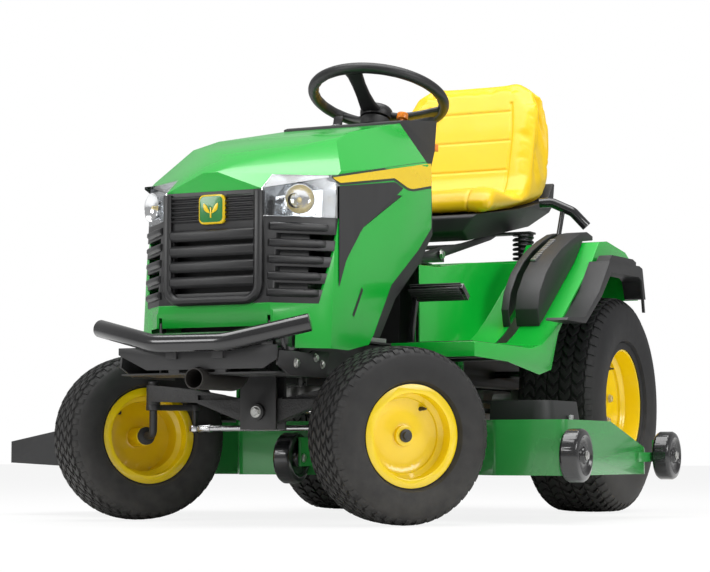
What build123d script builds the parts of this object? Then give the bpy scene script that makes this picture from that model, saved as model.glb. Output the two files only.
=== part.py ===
from build123d import *
from math import cos, hypot, radians, sin, tan
import os

# Riding lawn mower, millimetres.  The vehicle frame has X forward from the rear axle, Y to the
# driver's left and Z up from the floor; every piece is moved at the end so that the origin lies
# on the floor under the middle of the whole machine.

os.makedirs("parts", exist_ok=True)

# ---- running gear ----
wheelbase = 1240.0
rear_tyre_radius = 303.0
rear_tyre_width = 241.0
rear_wheel_y = 382.0
rear_rim_seat = 152.0
rear_flange_radius = 171.0
rear_rim_width = 196.0
front_tyre_radius = 205.0
front_tyre_width = 165.0
front_rim_seat = 101.0
front_flange_radius = 118.0
front_rim_width = 134.0
kingpin_y = 305.0
wheel_scrub = 92.0
camber = 2.5
rest_steer = -37.0
tyre_wall = 9.0
rim_wall = 3.0

# ---- clearances ----
run_gap = 0.08
loose_gap = 0.4
open_pivot_gap = 4.5

# ---- frame ----
rail_inner_y = 155.0
rail_width = 45.0
rail_height = 90.0
rail_bottom = 345.0
rail_wall = 5.0
rail_back = -232.0
rail_front = 1385.0
rail_top = rail_bottom + rail_height
rail_outer_y = rail_inner_y + rail_width
plate_thick = 6.0
hitch_hole_radius = 9.5

# ---- front axle ----
axle_pivot_z = 262.0
axle_pin_radius = 12.0
axle_depth = 36.0
kingpin_radius = 9.5
boss_radius = 17.0
boss_bottom = 283.0
boss_top = 330.0
stub_radius = 9.9
steer_arm = 110.0
drag_arm = 100.0
stud_radius = 6.0

# ---- steering ----
column_tilt = 17.45
wheel_x = 591.0
wheel_z = 1117.0
wheel_ring_radius = 176.0
wheel_grip_radius = 15.0
shaft_radius = 9.5
joint_z = 474.0
joint_ball = 12.0
pinion_teeth = 8
sector_teeth = 55
gear_module = 4.0
gear_thick = 9.0
sector_bottom = 402.0

# ---- deck ----
deck_half_width = 690.0
deck_front = 1045.0
deck_rear = 377.0
deck_top = 243.0
deck_skirt = 112.0
deck_slope_x = 720.0
deck_rear_top = 161.0
deck_wall = 4.0
blade_radius = 222.0
blade_side_y = 447.0
blade_side_x = 640.0
blade_mid_x = 795.0
blade_z = 126.0
pulley_radius = 62.0
pulley_z = 262.0
belt_thick = 12.0
crank_x = 1040.0
crank_pulley_radius = 50.0
gauge_radius = 62.0
gauge_width = 50.0
gauge_z = 159.0
gauge_bolt_proud = 5.0
middle_gauge_z = 153.0
gauge_mid_x = deck_front + gauge_radius + 5.0
deck_mid_x = (deck_front + deck_rear) / 2
gauge_corners = ((deck_front + 15.0, 1), (deck_rear - 7.0, 1), (deck_rear - 7.0, -1))
chute_reach = 237.0
chute_lip_top = 197.0
chute_lip_low = 140.0

# ---- bodywork ----
hood_half_width = 250.0
hood_wall = 4.0
hood_back_x = 822.0
hood_back_z = 1004.0
hood_crown_x = 1141.0
hood_crown_z = 937.0
hood_brow_x = 1417.0
hood_brow_z = 845.0
hood_nose_x = 1500.0
hood_nose_z = 806.0
hood_lip_x = 1487.0
hood_bottom = 402.0
hood_pivot_x = 1470.0
hood_pivot_z = 458.0
hood_pin_radius = 6.0
grille_bottom = 504.0
grille_top = 764.0
lamp_bottom = 700.0
lamp_inner_y = 125.0
tunnel_half_width = 235.0
fender_half_width = 452.0
footrest_front = 1015.0
footrest_floor = 432.0
fender_wall = 4.0
lever_y = 330.0
lever_pivot_x = 155.0
lever_pivot_z = 385.0
lever_shaft_radius = 9.0
dash_half_width = 168.0

# ---- seat ----
seat_half_width = 225.0
seat_pivot_x = 440.0
seat_pivot_z = 703.0
seat_pin_radius = 7.0
seat_top = 1270.0
spring_x = 31.0
spring_y = 196.0
spring_top = 792.0

# ---- bumper ----
bumper_tube_radius = 20.5
bumper_front_x = 1593.0
bumper_end_x = 1533.0
bumper_end_y = 274.0
bumper_bend_y = 88.0
bumper_low_z = 410.0
bumper_high_z = 453.0
bumper_plate_x = 1556.0

# ---- exhaust pipe ----
pipe_y = 6.0
pipe_z = 331.0
pipe_radius = 24.0

# ---- pedals ----
pedal_x = 930.0
pedal_z = 385.0
pedal_shaft_radius = 7.0
pedal_arm = 12.0

# the origin of the whole machine: the middle of its length and width, on the floor
overall_front = bumper_front_x + bumper_tube_radius
gauge_y = deck_half_width + plate_thick + 2.0 + gauge_width / 2
overall_left = gauge_y + gauge_width / 2 + gauge_bolt_proud
overall_right = -(deck_half_width + 10.0 + chute_reach)
middle = Location((-(overall_front - rear_tyre_radius) / 2, -(overall_left + overall_right) / 2, 0))


def ship(piece, name):
    """Label a finished piece, move it to the machine's origin and write it."""
    placed = piece.part.moved(middle)
    placed.label = name
    export_step(placed, f"parts/{name}.step")
    return placed


def turned(x, y, pivot, angle):
    """A point of a steered part: (x, y) from the pivot, turned about the vertical by angle."""
    a = radians(angle)
    return (pivot[0] + x * cos(a) - y * sin(a), pivot[1] + x * sin(a) + y * cos(a))


def bar(x0, x1, y0, y1, z0, z1, mode=Mode.ADD):
    """A block between two corners."""
    centre = ((x0 + x1) / 2, (y0 + y1) / 2, (z0 + z1) / 2)
    with Locations(centre):
        Box(abs(x1 - x0), abs(y1 - y0), abs(z1 - z0), mode=mode)


def rod(start, end, radius, mode=Mode.ADD):
    """A round bar between two points."""
    run = Vector(*end) - Vector(*start)
    with BuildSketch(Plane(origin=start, z_dir=run)) as section:
        Circle(radius)
    extrude(section.sketch, amount=run.length, mode=mode)


def side_profile(points, y0, y1, mode=Mode.ADD, rounding=0.0, rounded=()):
    """A side view, as (x, z) points, carried across the machine from y0 to y1."""
    with BuildSketch(Plane.XZ.offset(-y0)) as view:
        with BuildLine():
            Polyline(*points, close=True)
        make_face()
        if rounding:
            corners = [v for v in view.vertices() if any(
                hypot(v.X - points[i][0], v.Z - points[i][1]) < 0.01 for i in rounded)]
            fillet(corners, rounding)
    extrude(view.sketch, amount=-(y1 - y0), mode=mode)


# ---------------------------------------------------------------- frame

with BuildPart() as rails:
    for side in (1, -1):
        web = side * rail_inner_y
        edge = side * rail_outer_y
        inside = side * (rail_inner_y + rail_wall)
        bar(rail_back, rail_front, web, edge, rail_bottom, rail_top)
        bar(rail_back - 1, rail_front + 1, inside, edge + side, rail_bottom + rail_wall,
            rail_top - rail_wall, Mode.SUBTRACT)
        rod((lever_pivot_x, side * (rail_inner_y - 5), lever_pivot_z),
            (lever_pivot_x, side * (rail_outer_y + 5), lever_pivot_z),
            lever_shaft_radius + run_gap, Mode.SUBTRACT)
        rod((pedal_x, side * (rail_inner_y - 5), pedal_z),
            (pedal_x, side * (rail_outer_y + 5), pedal_z),
            pedal_shaft_radius + run_gap, Mode.SUBTRACT)
    rod((pedal_x - 70, -(rail_inner_y - 5), pedal_z), (pedal_x - 70, -(rail_outer_y + 5), pedal_z),
        pedal_shaft_radius + run_gap, Mode.SUBTRACT)
ship(rails, "frame_rails")

pinion_radius = gear_module * pinion_teeth / 2
sector_radius = gear_module * sector_teeth / 2
joint_x = wheel_x + (wheel_z - joint_z) * tan(radians(column_tilt))
sector_y = pinion_radius + sector_radius
support_z = rail_top - rail_wall - 2

with BuildPart() as cross_members:
    # plate that carries the pinion and the sector
    bar(joint_x - 110, joint_x + 110, -rail_inner_y, rail_inner_y, support_z, support_z + plate_thick)
    rod((joint_x, 0, support_z - 1), (joint_x, 0, support_z + 20), shaft_radius + run_gap, Mode.SUBTRACT)
    rod((joint_x, sector_y, support_z - 1), (joint_x, sector_y, support_z + 20),
        shaft_radius + run_gap, Mode.SUBTRACT)
    # front plate above the axle pivot
    bar(wheelbase - 45, wheelbase + 45, -rail_inner_y, rail_inner_y, rail_bottom,
        rail_bottom + plate_thick)
    # rear wall and hitch plate
    bar(rail_back - plate_thick, rail_back, -rail_outer_y, rail_outer_y, rail_bottom - 60, rail_top)
    bar(rail_back - 64, rail_back - plate_thick, -70, 70, rail_bottom - 60,
        rail_bottom - 60 + plate_thick)
    with Locations((rail_back - 40, 0, rail_bottom - 60 + plate_thick / 2)):
        Cylinder(hitch_hole_radius, plate_thick + 2, mode=Mode.SUBTRACT)
    # brackets that carry the footrests
    for side in (1, -1):
        for x in (620, 790):
            bar(x, x + 40, side * (rail_inner_y + rail_wall), side * (fender_half_width - 10),
                footrest_floor - fender_wall - 26, footrest_floor - fender_wall)
ship(cross_members, "frame_cross_members")

with BuildPart() as axle_bracket:
    for x in (wheelbase - 28, wheelbase + 20):
        bar(x, x + 8, -48, 48, axle_pivot_z - 42, rail_bottom)
    rod((wheelbase - 34, 0, axle_pivot_z), (wheelbase + 36, 0, axle_pivot_z), axle_pin_radius)
    rod((wheelbase + 28, 0, axle_pivot_z), (wheelbase + 38, 0, axle_pivot_z), axle_pin_radius + 8)
ship(axle_bracket, "axle_pivot_bracket")

ear_y = 140.0
with BuildPart() as front_frame:
    for side in (1, -1):
        side_profile([(1300, 398), (rail_front, 398), (rail_front + 10, 392), (1550, 392), (1556, 360),
                      (1500, 338), (1315, 338)], side * (rail_outer_y + 6), side * rail_outer_y)
        # hinge ears of the hood
        side_profile([(hood_pivot_x - 24, 345), (hood_pivot_x + 9, 345),
                      (hood_pivot_x + 9, hood_pivot_z + 6), (hood_pivot_x, hood_pivot_z + 10),
                      (hood_pivot_x - 12, hood_pivot_z + 6)],
                     side * (ear_y + plate_thick), side * ear_y)
        rod((hood_pivot_x, side * (ear_y - 3), hood_pivot_z),
            (hood_pivot_x, side * (ear_y + 12), hood_pivot_z), hood_pin_radius + run_gap,
            Mode.SUBTRACT)
    bar(rail_front, bumper_plate_x, -rail_outer_y, rail_outer_y, 341, 345)
    # tabs that the scoop stands on
    for side in (1, -1):
        bar(1440, 1480, side * 174, side * rail_outer_y, 387, 393.7)
    # the wide plate that the bumper tube is welded to
    with BuildSketch(Plane.YZ.offset(bumper_plate_x)):
        with BuildLine():
            Polyline((-205, 404), (-205, 388), (-130, 352), (170, 352), (205, 372), (205, 404),
                     (150, 404), (88, 392), (-88, 392), (-150, 404), close=True)
        make_face()
    extrude(amount=plate_thick)
    for y in (-60, 60):
        bar(bumper_plate_x + plate_thick, bumper_front_x - bumper_tube_radius - 0.2, y - 14, y + 14,
            376, bumper_low_z + 2)
        bar(bumper_plate_x - 4, bumper_plate_x + 2, y - 14, y + 14, 345, 392)
    bar(rail_front - 1, rail_front + 40, pipe_y - 27, pipe_y + 27, 338, 350, Mode.SUBTRACT)
    rod((rail_front - 10, pipe_y, pipe_z), (bumper_front_x, pipe_y, pipe_z), pipe_radius + 2, Mode.SUBTRACT)
ship(front_frame, "front_frame_bracket")

with BuildPart() as bumper:
    with BuildLine() as path:
        FilletPolyline((bumper_end_x, bumper_end_y, bumper_high_z),
                       (bumper_front_x, bumper_bend_y, bumper_low_z),
                       (bumper_front_x, -bumper_bend_y, bumper_low_z),
                       (bumper_end_x, -bumper_end_y, bumper_high_z), radius=110)
    with BuildSketch(Plane(origin=path.line @ 0, z_dir=path.line % 0)):
        Circle(bumper_tube_radius)
    sweep()
ship(bumper, "bumper_tube")

with BuildPart() as scoop:
    side_profile([(1410, 394), (1553, 394), (1550, 432), (1530, 438), (1494, 437), (1420, 437)],
                 186, -186, rounding=6, rounded=(2, 3))
    for side in (1, -1):
        with BuildSketch(Plane.XY.offset(380)) as corner:
            with BuildLine():
                Polyline((1560, side * 84), (1560, side * 190), (1480, side * 190), close=True)
            make_face()
        extrude(amount=80, mode=Mode.SUBTRACT)
    bar(1400, 1500, -178, 178, 390, 428, Mode.SUBTRACT)
    bar(1400, 1540, -84, 84, 390, 428, Mode.SUBTRACT)
    for side in (1, -1):
        bar(hood_pivot_x - 30, hood_pivot_x + 30, side * (ear_y - 8), side * (ear_y + 24), 380, 460,
            Mode.SUBTRACT)
ship(scoop, "front_scoop")

# ---------------------------------------------------------------- power

engine_x = 1120.0
with BuildPart() as engine:
    bar(engine_x - 150, engine_x + 150, -rail_outer_y, rail_outer_y, rail_top, rail_top + 10)
    bar(engine_x - 140, engine_x + 120, -120, 120, rail_top + 10, rail_top + 150)
    for side in (1, -1):
        cylinder_axis = Vector(0.62, side * 0.78, 0)
        with BuildSketch(Plane(origin=(engine_x + 10, side * 20, rail_top + 85), z_dir=cylinder_axis)):
            RectangleRounded(96, 96, 12)
        extrude(amount=190)
        for step in range(6):
            fin = Vector(engine_x + 10, side * 20, rail_top + 85) + cylinder_axis * (100 + step * 15)
            with BuildSketch(Plane(origin=fin, z_dir=cylinder_axis)):
                RectangleRounded(124, 124, 12)
            extrude(amount=5)
    fillet(engine.edges().filter_by(Axis.Z).group_by(Axis.X)[0], 6)
ship(engine, "engine_block")

with BuildPart() as shroud:
    with BuildSketch(Plane.XY.offset(rail_top + 160)):
        with Locations((engine_x, 0)):
            RectangleRounded(290, 300, 60)
    extrude(amount=110, taper=6)
    with BuildSketch(Plane.XY.offset(rail_top + 270)):
        with Locations((engine_x - 20, 0)):
            Circle(112)
    extrude(amount=60)
    bar(engine_x - 130, engine_x + 60, -84, 84, rail_top + 330, rail_top + 400)
    bar(engine_x - 20, engine_x + 20, -60, 60, rail_top + 150, rail_top + 162)
ship(shroud, "engine_shroud")

with BuildPart() as muffler:
    with BuildSketch(Plane.XY.offset(440)):
        with Locations((1352, 0)):
            RectangleRounded(96, 300, 40)
    extrude(amount=110)
    # strap that stands on the rails
    bar(1330, 1374, -rail_outer_y, rail_outer_y, rail_top + 0.2, 442)
    with BuildLine() as route:
        FilletPolyline((1352, pipe_y, 450), (1352, pipe_y, pipe_z), (1582, pipe_y, pipe_z), radius=60)
    with BuildSketch(Plane(origin=route.line @ 0, z_dir=route.line % 0)):
        Circle(pipe_radius)
    sweep()
    with BuildSketch(Plane(origin=route.line @ 1, z_dir=route.line % 1)):
        Circle(pipe_radius - 3)
    extrude(amount=-90, mode=Mode.SUBTRACT)
ship(muffler, "muffler")

with BuildPart() as tank:
    with BuildSketch(Plane.XY.offset(rail_top)):
        with Locations((-120, 0)):
            RectangleRounded(190, 390, 30)
    extrude(amount=200)
    rod((-120, 110, rail_top + 200), (-120, 110, rail_top + 222), 38)
ship(tank, "fuel_tank")

with BuildPart() as battery:
    bar(180, 375, -rail_outer_y, -rail_outer_y + 130, rail_top, rail_top + 160)
    for x in (205, 350):
        rod((x, -rail_outer_y + 30, rail_top + 160), (x, -rail_outer_y + 30, rail_top + 174), 7)
ship(battery, "battery")

with BuildPart() as transaxle:
    bar(-120, 90, -95, 95, rear_tyre_radius - 70, rail_bottom)
    rod((0, -252, rear_tyre_radius), (0, 252, rear_tyre_radius), 34)
    rod((0, -rear_wheel_y - 44, rear_tyre_radius), (0, rear_wheel_y + 44, rear_tyre_radius), 12.6)
    bar(-30, 30, -rail_outer_y, -rail_inner_y, rear_tyre_radius, rail_bottom)
    bar(-30, 30, rail_inner_y, rail_outer_y, rear_tyre_radius, rail_bottom)
    rod((60, 0, 225), (60, 0, 250), 55)
ship(transaxle, "transaxle")

with BuildPart() as crank:
    rod((crank_x, 0, pulley_z), (crank_x, 0, rail_top - 0.3), 12.5)
    rod((crank_x, 0, pulley_z), (crank_x, 0, pulley_z + belt_thick + 8), crank_pulley_radius)
    with BuildSketch(Plane.XZ):
        with BuildLine():
            Polyline((crank_x + crank_pulley_radius - 8, pulley_z + 5),
                     (crank_x + crank_pulley_radius - 8, pulley_z + 15),
                     (crank_x + crank_pulley_radius + 1, pulley_z + 15),
                     (crank_x + crank_pulley_radius + 1, pulley_z + 5), close=True)
        make_face()
    revolve(axis=Axis((crank_x, 0, 0), (0, 0, 1)), mode=Mode.SUBTRACT)
    rod((crank_x, 0, pulley_z + 24), (crank_x, 0, pulley_z + 66), 62)
ship(crank, "crank_pulley")

# ---------------------------------------------------------------- wheels


def wheel_frame(x, y, z, side, tilt, steer):
    """The place and outward axle direction of a wheel, with its section plane."""
    a = radians(steer)
    out = Vector(0, side * cos(radians(tilt)), -sin(radians(tilt)))
    out = Vector(-out.Y * sin(a), out.Y * cos(a), out.Z)
    return Vector(x, y, z), out


def section_plane(centre, out):
    """A plane through the axle: its x runs outward along the axle, its y up the wheel."""
    ahead = out.cross(Vector(0, 0, 1)).normalized()
    return Plane(origin=centre, x_dir=out, z_dir=ahead)


def tyre(centre, out, radius, width, seat, flange, rim_width):
    """A tubeless tyre: a carcass open to the rim, with its crown, shoulders and beads."""
    half = width / 2
    bead = rim_width / 2 - rim_wall - 0.5
    outer = [(bead, seat + 0.3), (bead, flange + 1.5), (half * 0.9, flange + 5), (half, radius * 0.76),
             (half * 0.98, radius * 0.86), (half * 0.87, radius * 0.94), (half * 0.5, radius * 0.99),
             (0, radius)]
    inner = [(0, radius - tyre_wall * 1.3), (half * 0.48, radius * 0.99 - tyre_wall * 1.3),
             (half * 0.87 - tyre_wall, radius * 0.93 - tyre_wall),
             (half - tyre_wall, radius * 0.84), (half - tyre_wall, radius * 0.76),
             (half * 0.9 - tyre_wall, flange + 7), (bead - tyre_wall, flange - 2),
             (bead - tyre_wall, seat + 0.3)]
    ring = outer + [(-a, r) for a, r in reversed(outer) if a > 0]
    ring = ring + [(-a, r) for a, r in reversed(inner)] + inner[1:]
    with BuildPart() as piece:
        with BuildSketch(section_plane(centre, out)):
            with BuildLine():
                Polyline(*ring, close=True)
            make_face()
        revolve(axis=Axis(centre, out))
    return piece


def rim(centre, out, seat, flange, rim_width, disc_out, hub_in, hub_out, hub_radius, bore):
    """A pressed steel rim: two flanges, a drop-centre barrel, a dished disc and a hub tube."""
    half = rim_width / 2
    wall = rim_wall
    drop = seat - 12
    with BuildPart() as piece:
        with BuildSketch(section_plane(centre, out)):
            with BuildLine():
                Polyline((half, flange), (half, seat - wall), (half * 0.55, seat - wall),
                         (half * 0.45, drop - wall), (-half * 0.45, drop - wall),
                         (-half * 0.55, seat - wall), (-half, seat - wall), (-half, flange),
                         (-half + wall, flange), (-half + wall, seat), (-half * 0.52, seat),
                         (-half * 0.42, drop), (half * 0.42, drop), (half * 0.52, seat),
                         (half - wall, seat), (half - wall, flange), close=True)
            make_face()
            with BuildLine():
                Polyline((disc_out - wall, drop - 1), (disc_out - wall * 3, drop * 0.72),
                         (hub_out - 14, hub_radius + 10), (hub_out - 14, hub_radius - 1),
                         (hub_out - 10, hub_radius - 1), (hub_out - 10, hub_radius + 11),
                         (disc_out - wall * 2, drop * 0.74), (disc_out, drop - 1), close=True)
            make_face()
            with BuildLine():
                Polyline((hub_in, bore), (hub_out, bore), (hub_out, hub_radius), (hub_in, hub_radius),
                         close=True)
            make_face()
        revolve(axis=Axis(centre, out))
    return piece


front_places = {}
for side, name in ((1, "left"), (-1, "right")):
    kingpin = (wheelbase, side * kingpin_y)
    place = turned(0, side * wheel_scrub, kingpin, rest_steer)
    centre, out = wheel_frame(place[0], place[1], front_tyre_radius, side, camber, rest_steer)
    front_places[side] = (centre, out)
    ship(rim(centre, out, front_rim_seat, front_flange_radius, front_rim_width, 24, -42, 34, 24,
             stub_radius + run_gap), f"{name}_front_rim")
    ship(tyre(centre, out, front_tyre_radius, front_tyre_width, front_rim_seat, front_flange_radius,
              front_rim_width), f"{name}_front_tyre")
    centre, out = wheel_frame(0, side * rear_wheel_y, rear_tyre_radius, side, 0, 0)
    ship(rim(centre, out, rear_rim_seat, rear_flange_radius, rear_rim_width, 36, -40, 42, 30,
             12.6 + run_gap), f"{name}_rear_rim")
    ship(tyre(centre, out, rear_tyre_radius, rear_tyre_width, rear_rim_seat, rear_flange_radius,
              rear_rim_width), f"{name}_rear_tyre")

# ---------------------------------------------------------------- front axle and steering

with BuildPart() as axle:
    with BuildSketch(Plane.YZ.offset(wheelbase - axle_depth / 2)):
        with BuildLine():
            Polyline((-30, axle_pivot_z - 30), (30, axle_pivot_z - 30), (175, 286), (kingpin_y, 290),
                     (kingpin_y, 330), (190, 318), (40, axle_pivot_z + 30), (-40, axle_pivot_z + 30),
                     (-190, 318), (-kingpin_y, 330), (-kingpin_y, 290), (-175, 286), close=True)
        make_face()
    extrude(amount=axle_depth)
    for side in (1, -1):
        bar(wheelbase + 6, wheelbase + 30, side * 60, side * 170, 292, 304, Mode.SUBTRACT)
        bar(wheelbase - 30, wheelbase - 6, side * 60, side * 170, 292, 304, Mode.SUBTRACT)
        rod((wheelbase, side * kingpin_y, boss_bottom), (wheelbase, side * kingpin_y, boss_top),
            boss_radius)
        rod((wheelbase, side * kingpin_y, boss_bottom - 1), (wheelbase, side * kingpin_y, boss_top + 1),
            kingpin_radius + run_gap, Mode.SUBTRACT)
    rod((wheelbase - 30, 0, axle_pivot_z), (wheelbase + 30, 0, axle_pivot_z),
        axle_pin_radius + run_gap, Mode.SUBTRACT)
    bar(wheelbase - 19, wheelbase - axle_depth / 2, -60, 60, 200, 330, Mode.SUBTRACT)
ship(axle, "front_axle_beam")

arm_top = boss_bottom - 0.3
arm_thick = 14.0
tie_rod_z = 225.0
drag_front_z = 247.0
for side, name in ((1, "left"), (-1, "right")):
    kingpin = (wheelbase, side * kingpin_y)
    centre, out = front_places[side]
    bend_z = centre.Z + wheel_scrub * tan(radians(camber))
    stub_end = centre + out * 46
    with BuildPart() as spindle:
        with BuildLine() as route:
            FilletPolyline((kingpin[0], kingpin[1], boss_top + 9), (kingpin[0], kingpin[1], bend_z),
                           (stub_end.X, stub_end.Y, stub_end.Z), radius=14)
        with BuildSketch(Plane(origin=route.line @ 0, z_dir=route.line % 0)):
            Circle(kingpin_radius)
        sweep()
        shoulder = centre - out * 50
        rod(tuple(shoulder), tuple(centre - out * 42.4), 22)
        rod(tuple(centre + out * 34.4), tuple(centre + out * 40), 15)
        # cap over the beam's boss
        rod((kingpin[0], kingpin[1], boss_top + 0.3), (kingpin[0], kingpin[1], boss_top + 9), 13)
        # steering arm
        back = turned(-steer_arm, 0, kingpin, rest_steer)
        with BuildSketch(Plane.XY.offset(arm_top - arm_thick)):
            with Locations(kingpin):
                Circle(18)
            with Locations(back):
                Circle(13)
            with Locations(((kingpin[0] + back[0]) / 2, (kingpin[1] + back[1]) / 2)):
                Rectangle(steer_arm, 17, rotation=rest_steer)
            if side > 0:
                inner = turned(0, -drag_arm, kingpin, rest_steer)
                with Locations(inner):
                    Circle(13)
                with Locations(((kingpin[0] + inner[0]) / 2, (kingpin[1] + inner[1]) / 2)):
                    Rectangle(drag_arm, 17, rotation=rest_steer + 90)
        extrude(amount=arm_thick)
        rod((back[0], back[1], tie_rod_z - 11), (back[0], back[1], arm_top), stud_radius)
        if side > 0:
            rod((inner[0], inner[1], drag_front_z - 20), (inner[0], inner[1], arm_top), stud_radius)
    ship(spindle, f"{name}_spindle")

left_ball = turned(-steer_arm, 0, (wheelbase, kingpin_y), rest_steer)
right_ball = turned(-steer_arm, 0, (wheelbase, -kingpin_y), rest_steer)
with BuildPart() as tie_rod:
    for ball in (left_ball, right_ball):
        rod((ball[0], ball[1], tie_rod_z - 7), (ball[0], ball[1], tie_rod_z + 7), 14)
    rod((right_ball[0], right_ball[1] + 12, tie_rod_z), (left_ball[0], left_ball[1] - 12, tie_rod_z), 7)
    rod((right_ball[0], right_ball[1] + 12, tie_rod_z), (left_ball[0], right_ball[1] + 46, tie_rod_z),
        9.5)
    rod((right_ball[0], left_ball[1] - 46, tie_rod_z), (left_ball[0], left_ball[1] - 12, tie_rod_z),
        9.5)
    for ball, gap in ((right_ball, run_gap), (left_ball, 0.5)):
        rod((ball[0], ball[1], tie_rod_z - 8), (ball[0], ball[1], tie_rod_z + 8), stud_radius + gap,
            Mode.SUBTRACT)
ship(tie_rod, "tie_rod")

sector_centre = (joint_x, sector_y)
sector_ball = turned(0, -drag_arm, sector_centre, rest_steer)
spindle_ball = turned(0, -drag_arm, (wheelbase, kingpin_y), rest_steer)
drag_rear_z = sector_bottom - 24
with BuildPart() as drag_link:
    rear = Vector(sector_ball[0], sector_ball[1], drag_rear_z)
    front = Vector(spindle_ball[0], spindle_ball[1], drag_front_z)
    along = (front - rear).normalized()
    rod(tuple(rear + along * 13), tuple(front - along * 13), 7)
    rod((rear.X, rear.Y, rear.Z - 6), (rear.X, rear.Y, rear.Z + 6), 15)
    rod((front.X, front.Y, front.Z - 6), (front.X, front.Y, front.Z + 6), 17)
    rod((rear.X, rear.Y, rear.Z - 9), (rear.X, rear.Y, rear.Z + 9), stud_radius + run_gap,
        Mode.SUBTRACT)
    rod((front.X, front.Y, front.Z - 14), (front.X, front.Y, front.Z + 14),
        stud_radius + open_pivot_gap, Mode.SUBTRACT)
ship(drag_link, "drag_link")


def gear_outline(radius, teeth, count, start):
    """Points of a spur gear's rim: tip and root of each tooth, anticlockwise from start."""
    pitch = 360 / teeth
    tip, root = radius + gear_module * 0.8, radius - gear_module * 1.15
    points = []
    for tooth in range(count):
        middle_angle = start + tooth * pitch
        for share, reach in ((-0.24, root), (-0.09, tip), (0.09, tip), (0.24, root)):
            a = radians(middle_angle + share * pitch)
            points.append((reach * cos(a), reach * sin(a)))
    return points


with BuildPart() as pinion:
    with BuildSketch(Plane.XY.offset(sector_bottom)):
        with Locations((joint_x, 0)):
            with BuildLine(mode=Mode.PRIVATE) as rim_line:
                Polyline(*gear_outline(pinion_radius, pinion_teeth, pinion_teeth, 90), close=True)
            add(make_face(rim_line.wires()[0], mode=Mode.PRIVATE))
    extrude(amount=gear_thick)
    rod((joint_x, 0, sector_bottom), (joint_x, 0, joint_z), shaft_radius)
    rod((joint_x, 0, support_z + plate_thick + 0.3), (joint_x, 0, support_z + plate_thick + 8), 15)
    with Locations((joint_x, 0, joint_z)):
        Sphere(joint_ball)
ship(pinion, "steering_pinion")

sector_count = 15
sector_pitch = 360 / sector_teeth
with BuildPart() as sector:
    start = -90 + rest_steer - (sector_count - 1) / 2 * sector_pitch
    mesh_turn = (-90 - start) / sector_pitch
    start = start + (mesh_turn - round(mesh_turn) - 0.5) * sector_pitch
    arc = gear_outline(sector_radius, sector_teeth, sector_count, start)
    with BuildSketch(Plane.XY.offset(sector_bottom)):
        with Locations(sector_centre):
            with BuildLine(mode=Mode.PRIVATE) as rim_line:
                Polyline(*arc, (0, 0), close=True)
            add(make_face(rim_line.wires()[0], mode=Mode.PRIVATE))
            Circle(26)
    extrude(amount=gear_thick)
    rod((sector_centre[0], sector_centre[1], sector_bottom),
        (sector_centre[0], sector_centre[1], support_z + plate_thick + 8), shaft_radius)
    rod((sector_centre[0], sector_centre[1], support_z + plate_thick + 0.3),
        (sector_centre[0], sector_centre[1], support_z + plate_thick + 8), 15)
    rod((sector_ball[0], sector_ball[1], drag_rear_z - 10),
        (sector_ball[0], sector_ball[1], sector_bottom + gear_thick), stud_radius)
ship(sector, "steering_sector")

column = Vector(-sin(radians(column_tilt)), 0, cos(radians(column_tilt)))
hub = Vector(wheel_x, 0, wheel_z)
dish = 58.0
joint_reach = (wheel_z - joint_z) / cos(radians(column_tilt))
with BuildPart() as column_shaft:
    low = hub - column * (joint_reach - 4)
    high = hub - column * (dish - 8)
    rod(tuple(low), tuple(high), shaft_radius)
    rod(tuple(low), tuple(low + column * 26), joint_ball + 5)
    with Locations(tuple(hub - column * joint_reach)):
        Sphere(joint_ball + 0.3, mode=Mode.SUBTRACT)
ship(column_shaft, "steering_shaft")

spoke_angles = (0, 128, 232)
with BuildPart() as steering_wheel:
    wheel_plane = Plane(origin=hub, x_dir=(cos(radians(column_tilt)), 0, sin(radians(column_tilt))),
                        z_dir=column)
    with BuildSketch(Plane(origin=hub, x_dir=wheel_plane.x_dir, z_dir=(0, -1, 0))):
        with Locations((wheel_ring_radius, 0)):
            Circle(wheel_grip_radius)
    revolve(axis=Axis(hub, column))
    rod(tuple(hub - column * dish), tuple(hub - column * (dish - 24)), 43)
    for angle in spoke_angles:
        a = radians(angle)
        spoke_dir = wheel_plane.x_dir * cos(a) + Vector(0, 1, 0) * sin(a)
        across = spoke_dir.cross(column)
        with BuildSketch(Plane(origin=hub, x_dir=spoke_dir, z_dir=across)):
            with BuildLine():
                Polyline((24, -dish + 4), (60, -dish + 8), (wheel_ring_radius - 4, -7),
                         (wheel_ring_radius - 4, 4), (64, -dish + 22), (24, -dish + 20), close=True)
            make_face()
        extrude(amount=19, both=True)
    rod(tuple(hub - column * (dish + 5)), tuple(hub - column * (dish - 8)), shaft_radius, Mode.SUBTRACT)
ship(steering_wheel, "steering_wheel")

# ---------------------------------------------------------------- deck

slope = (deck_top - deck_rear_top) / (deck_slope_x - deck_rear)
bay_inner = 168.0
bay_outer = 520.0
bay_depth = 92.0


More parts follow.
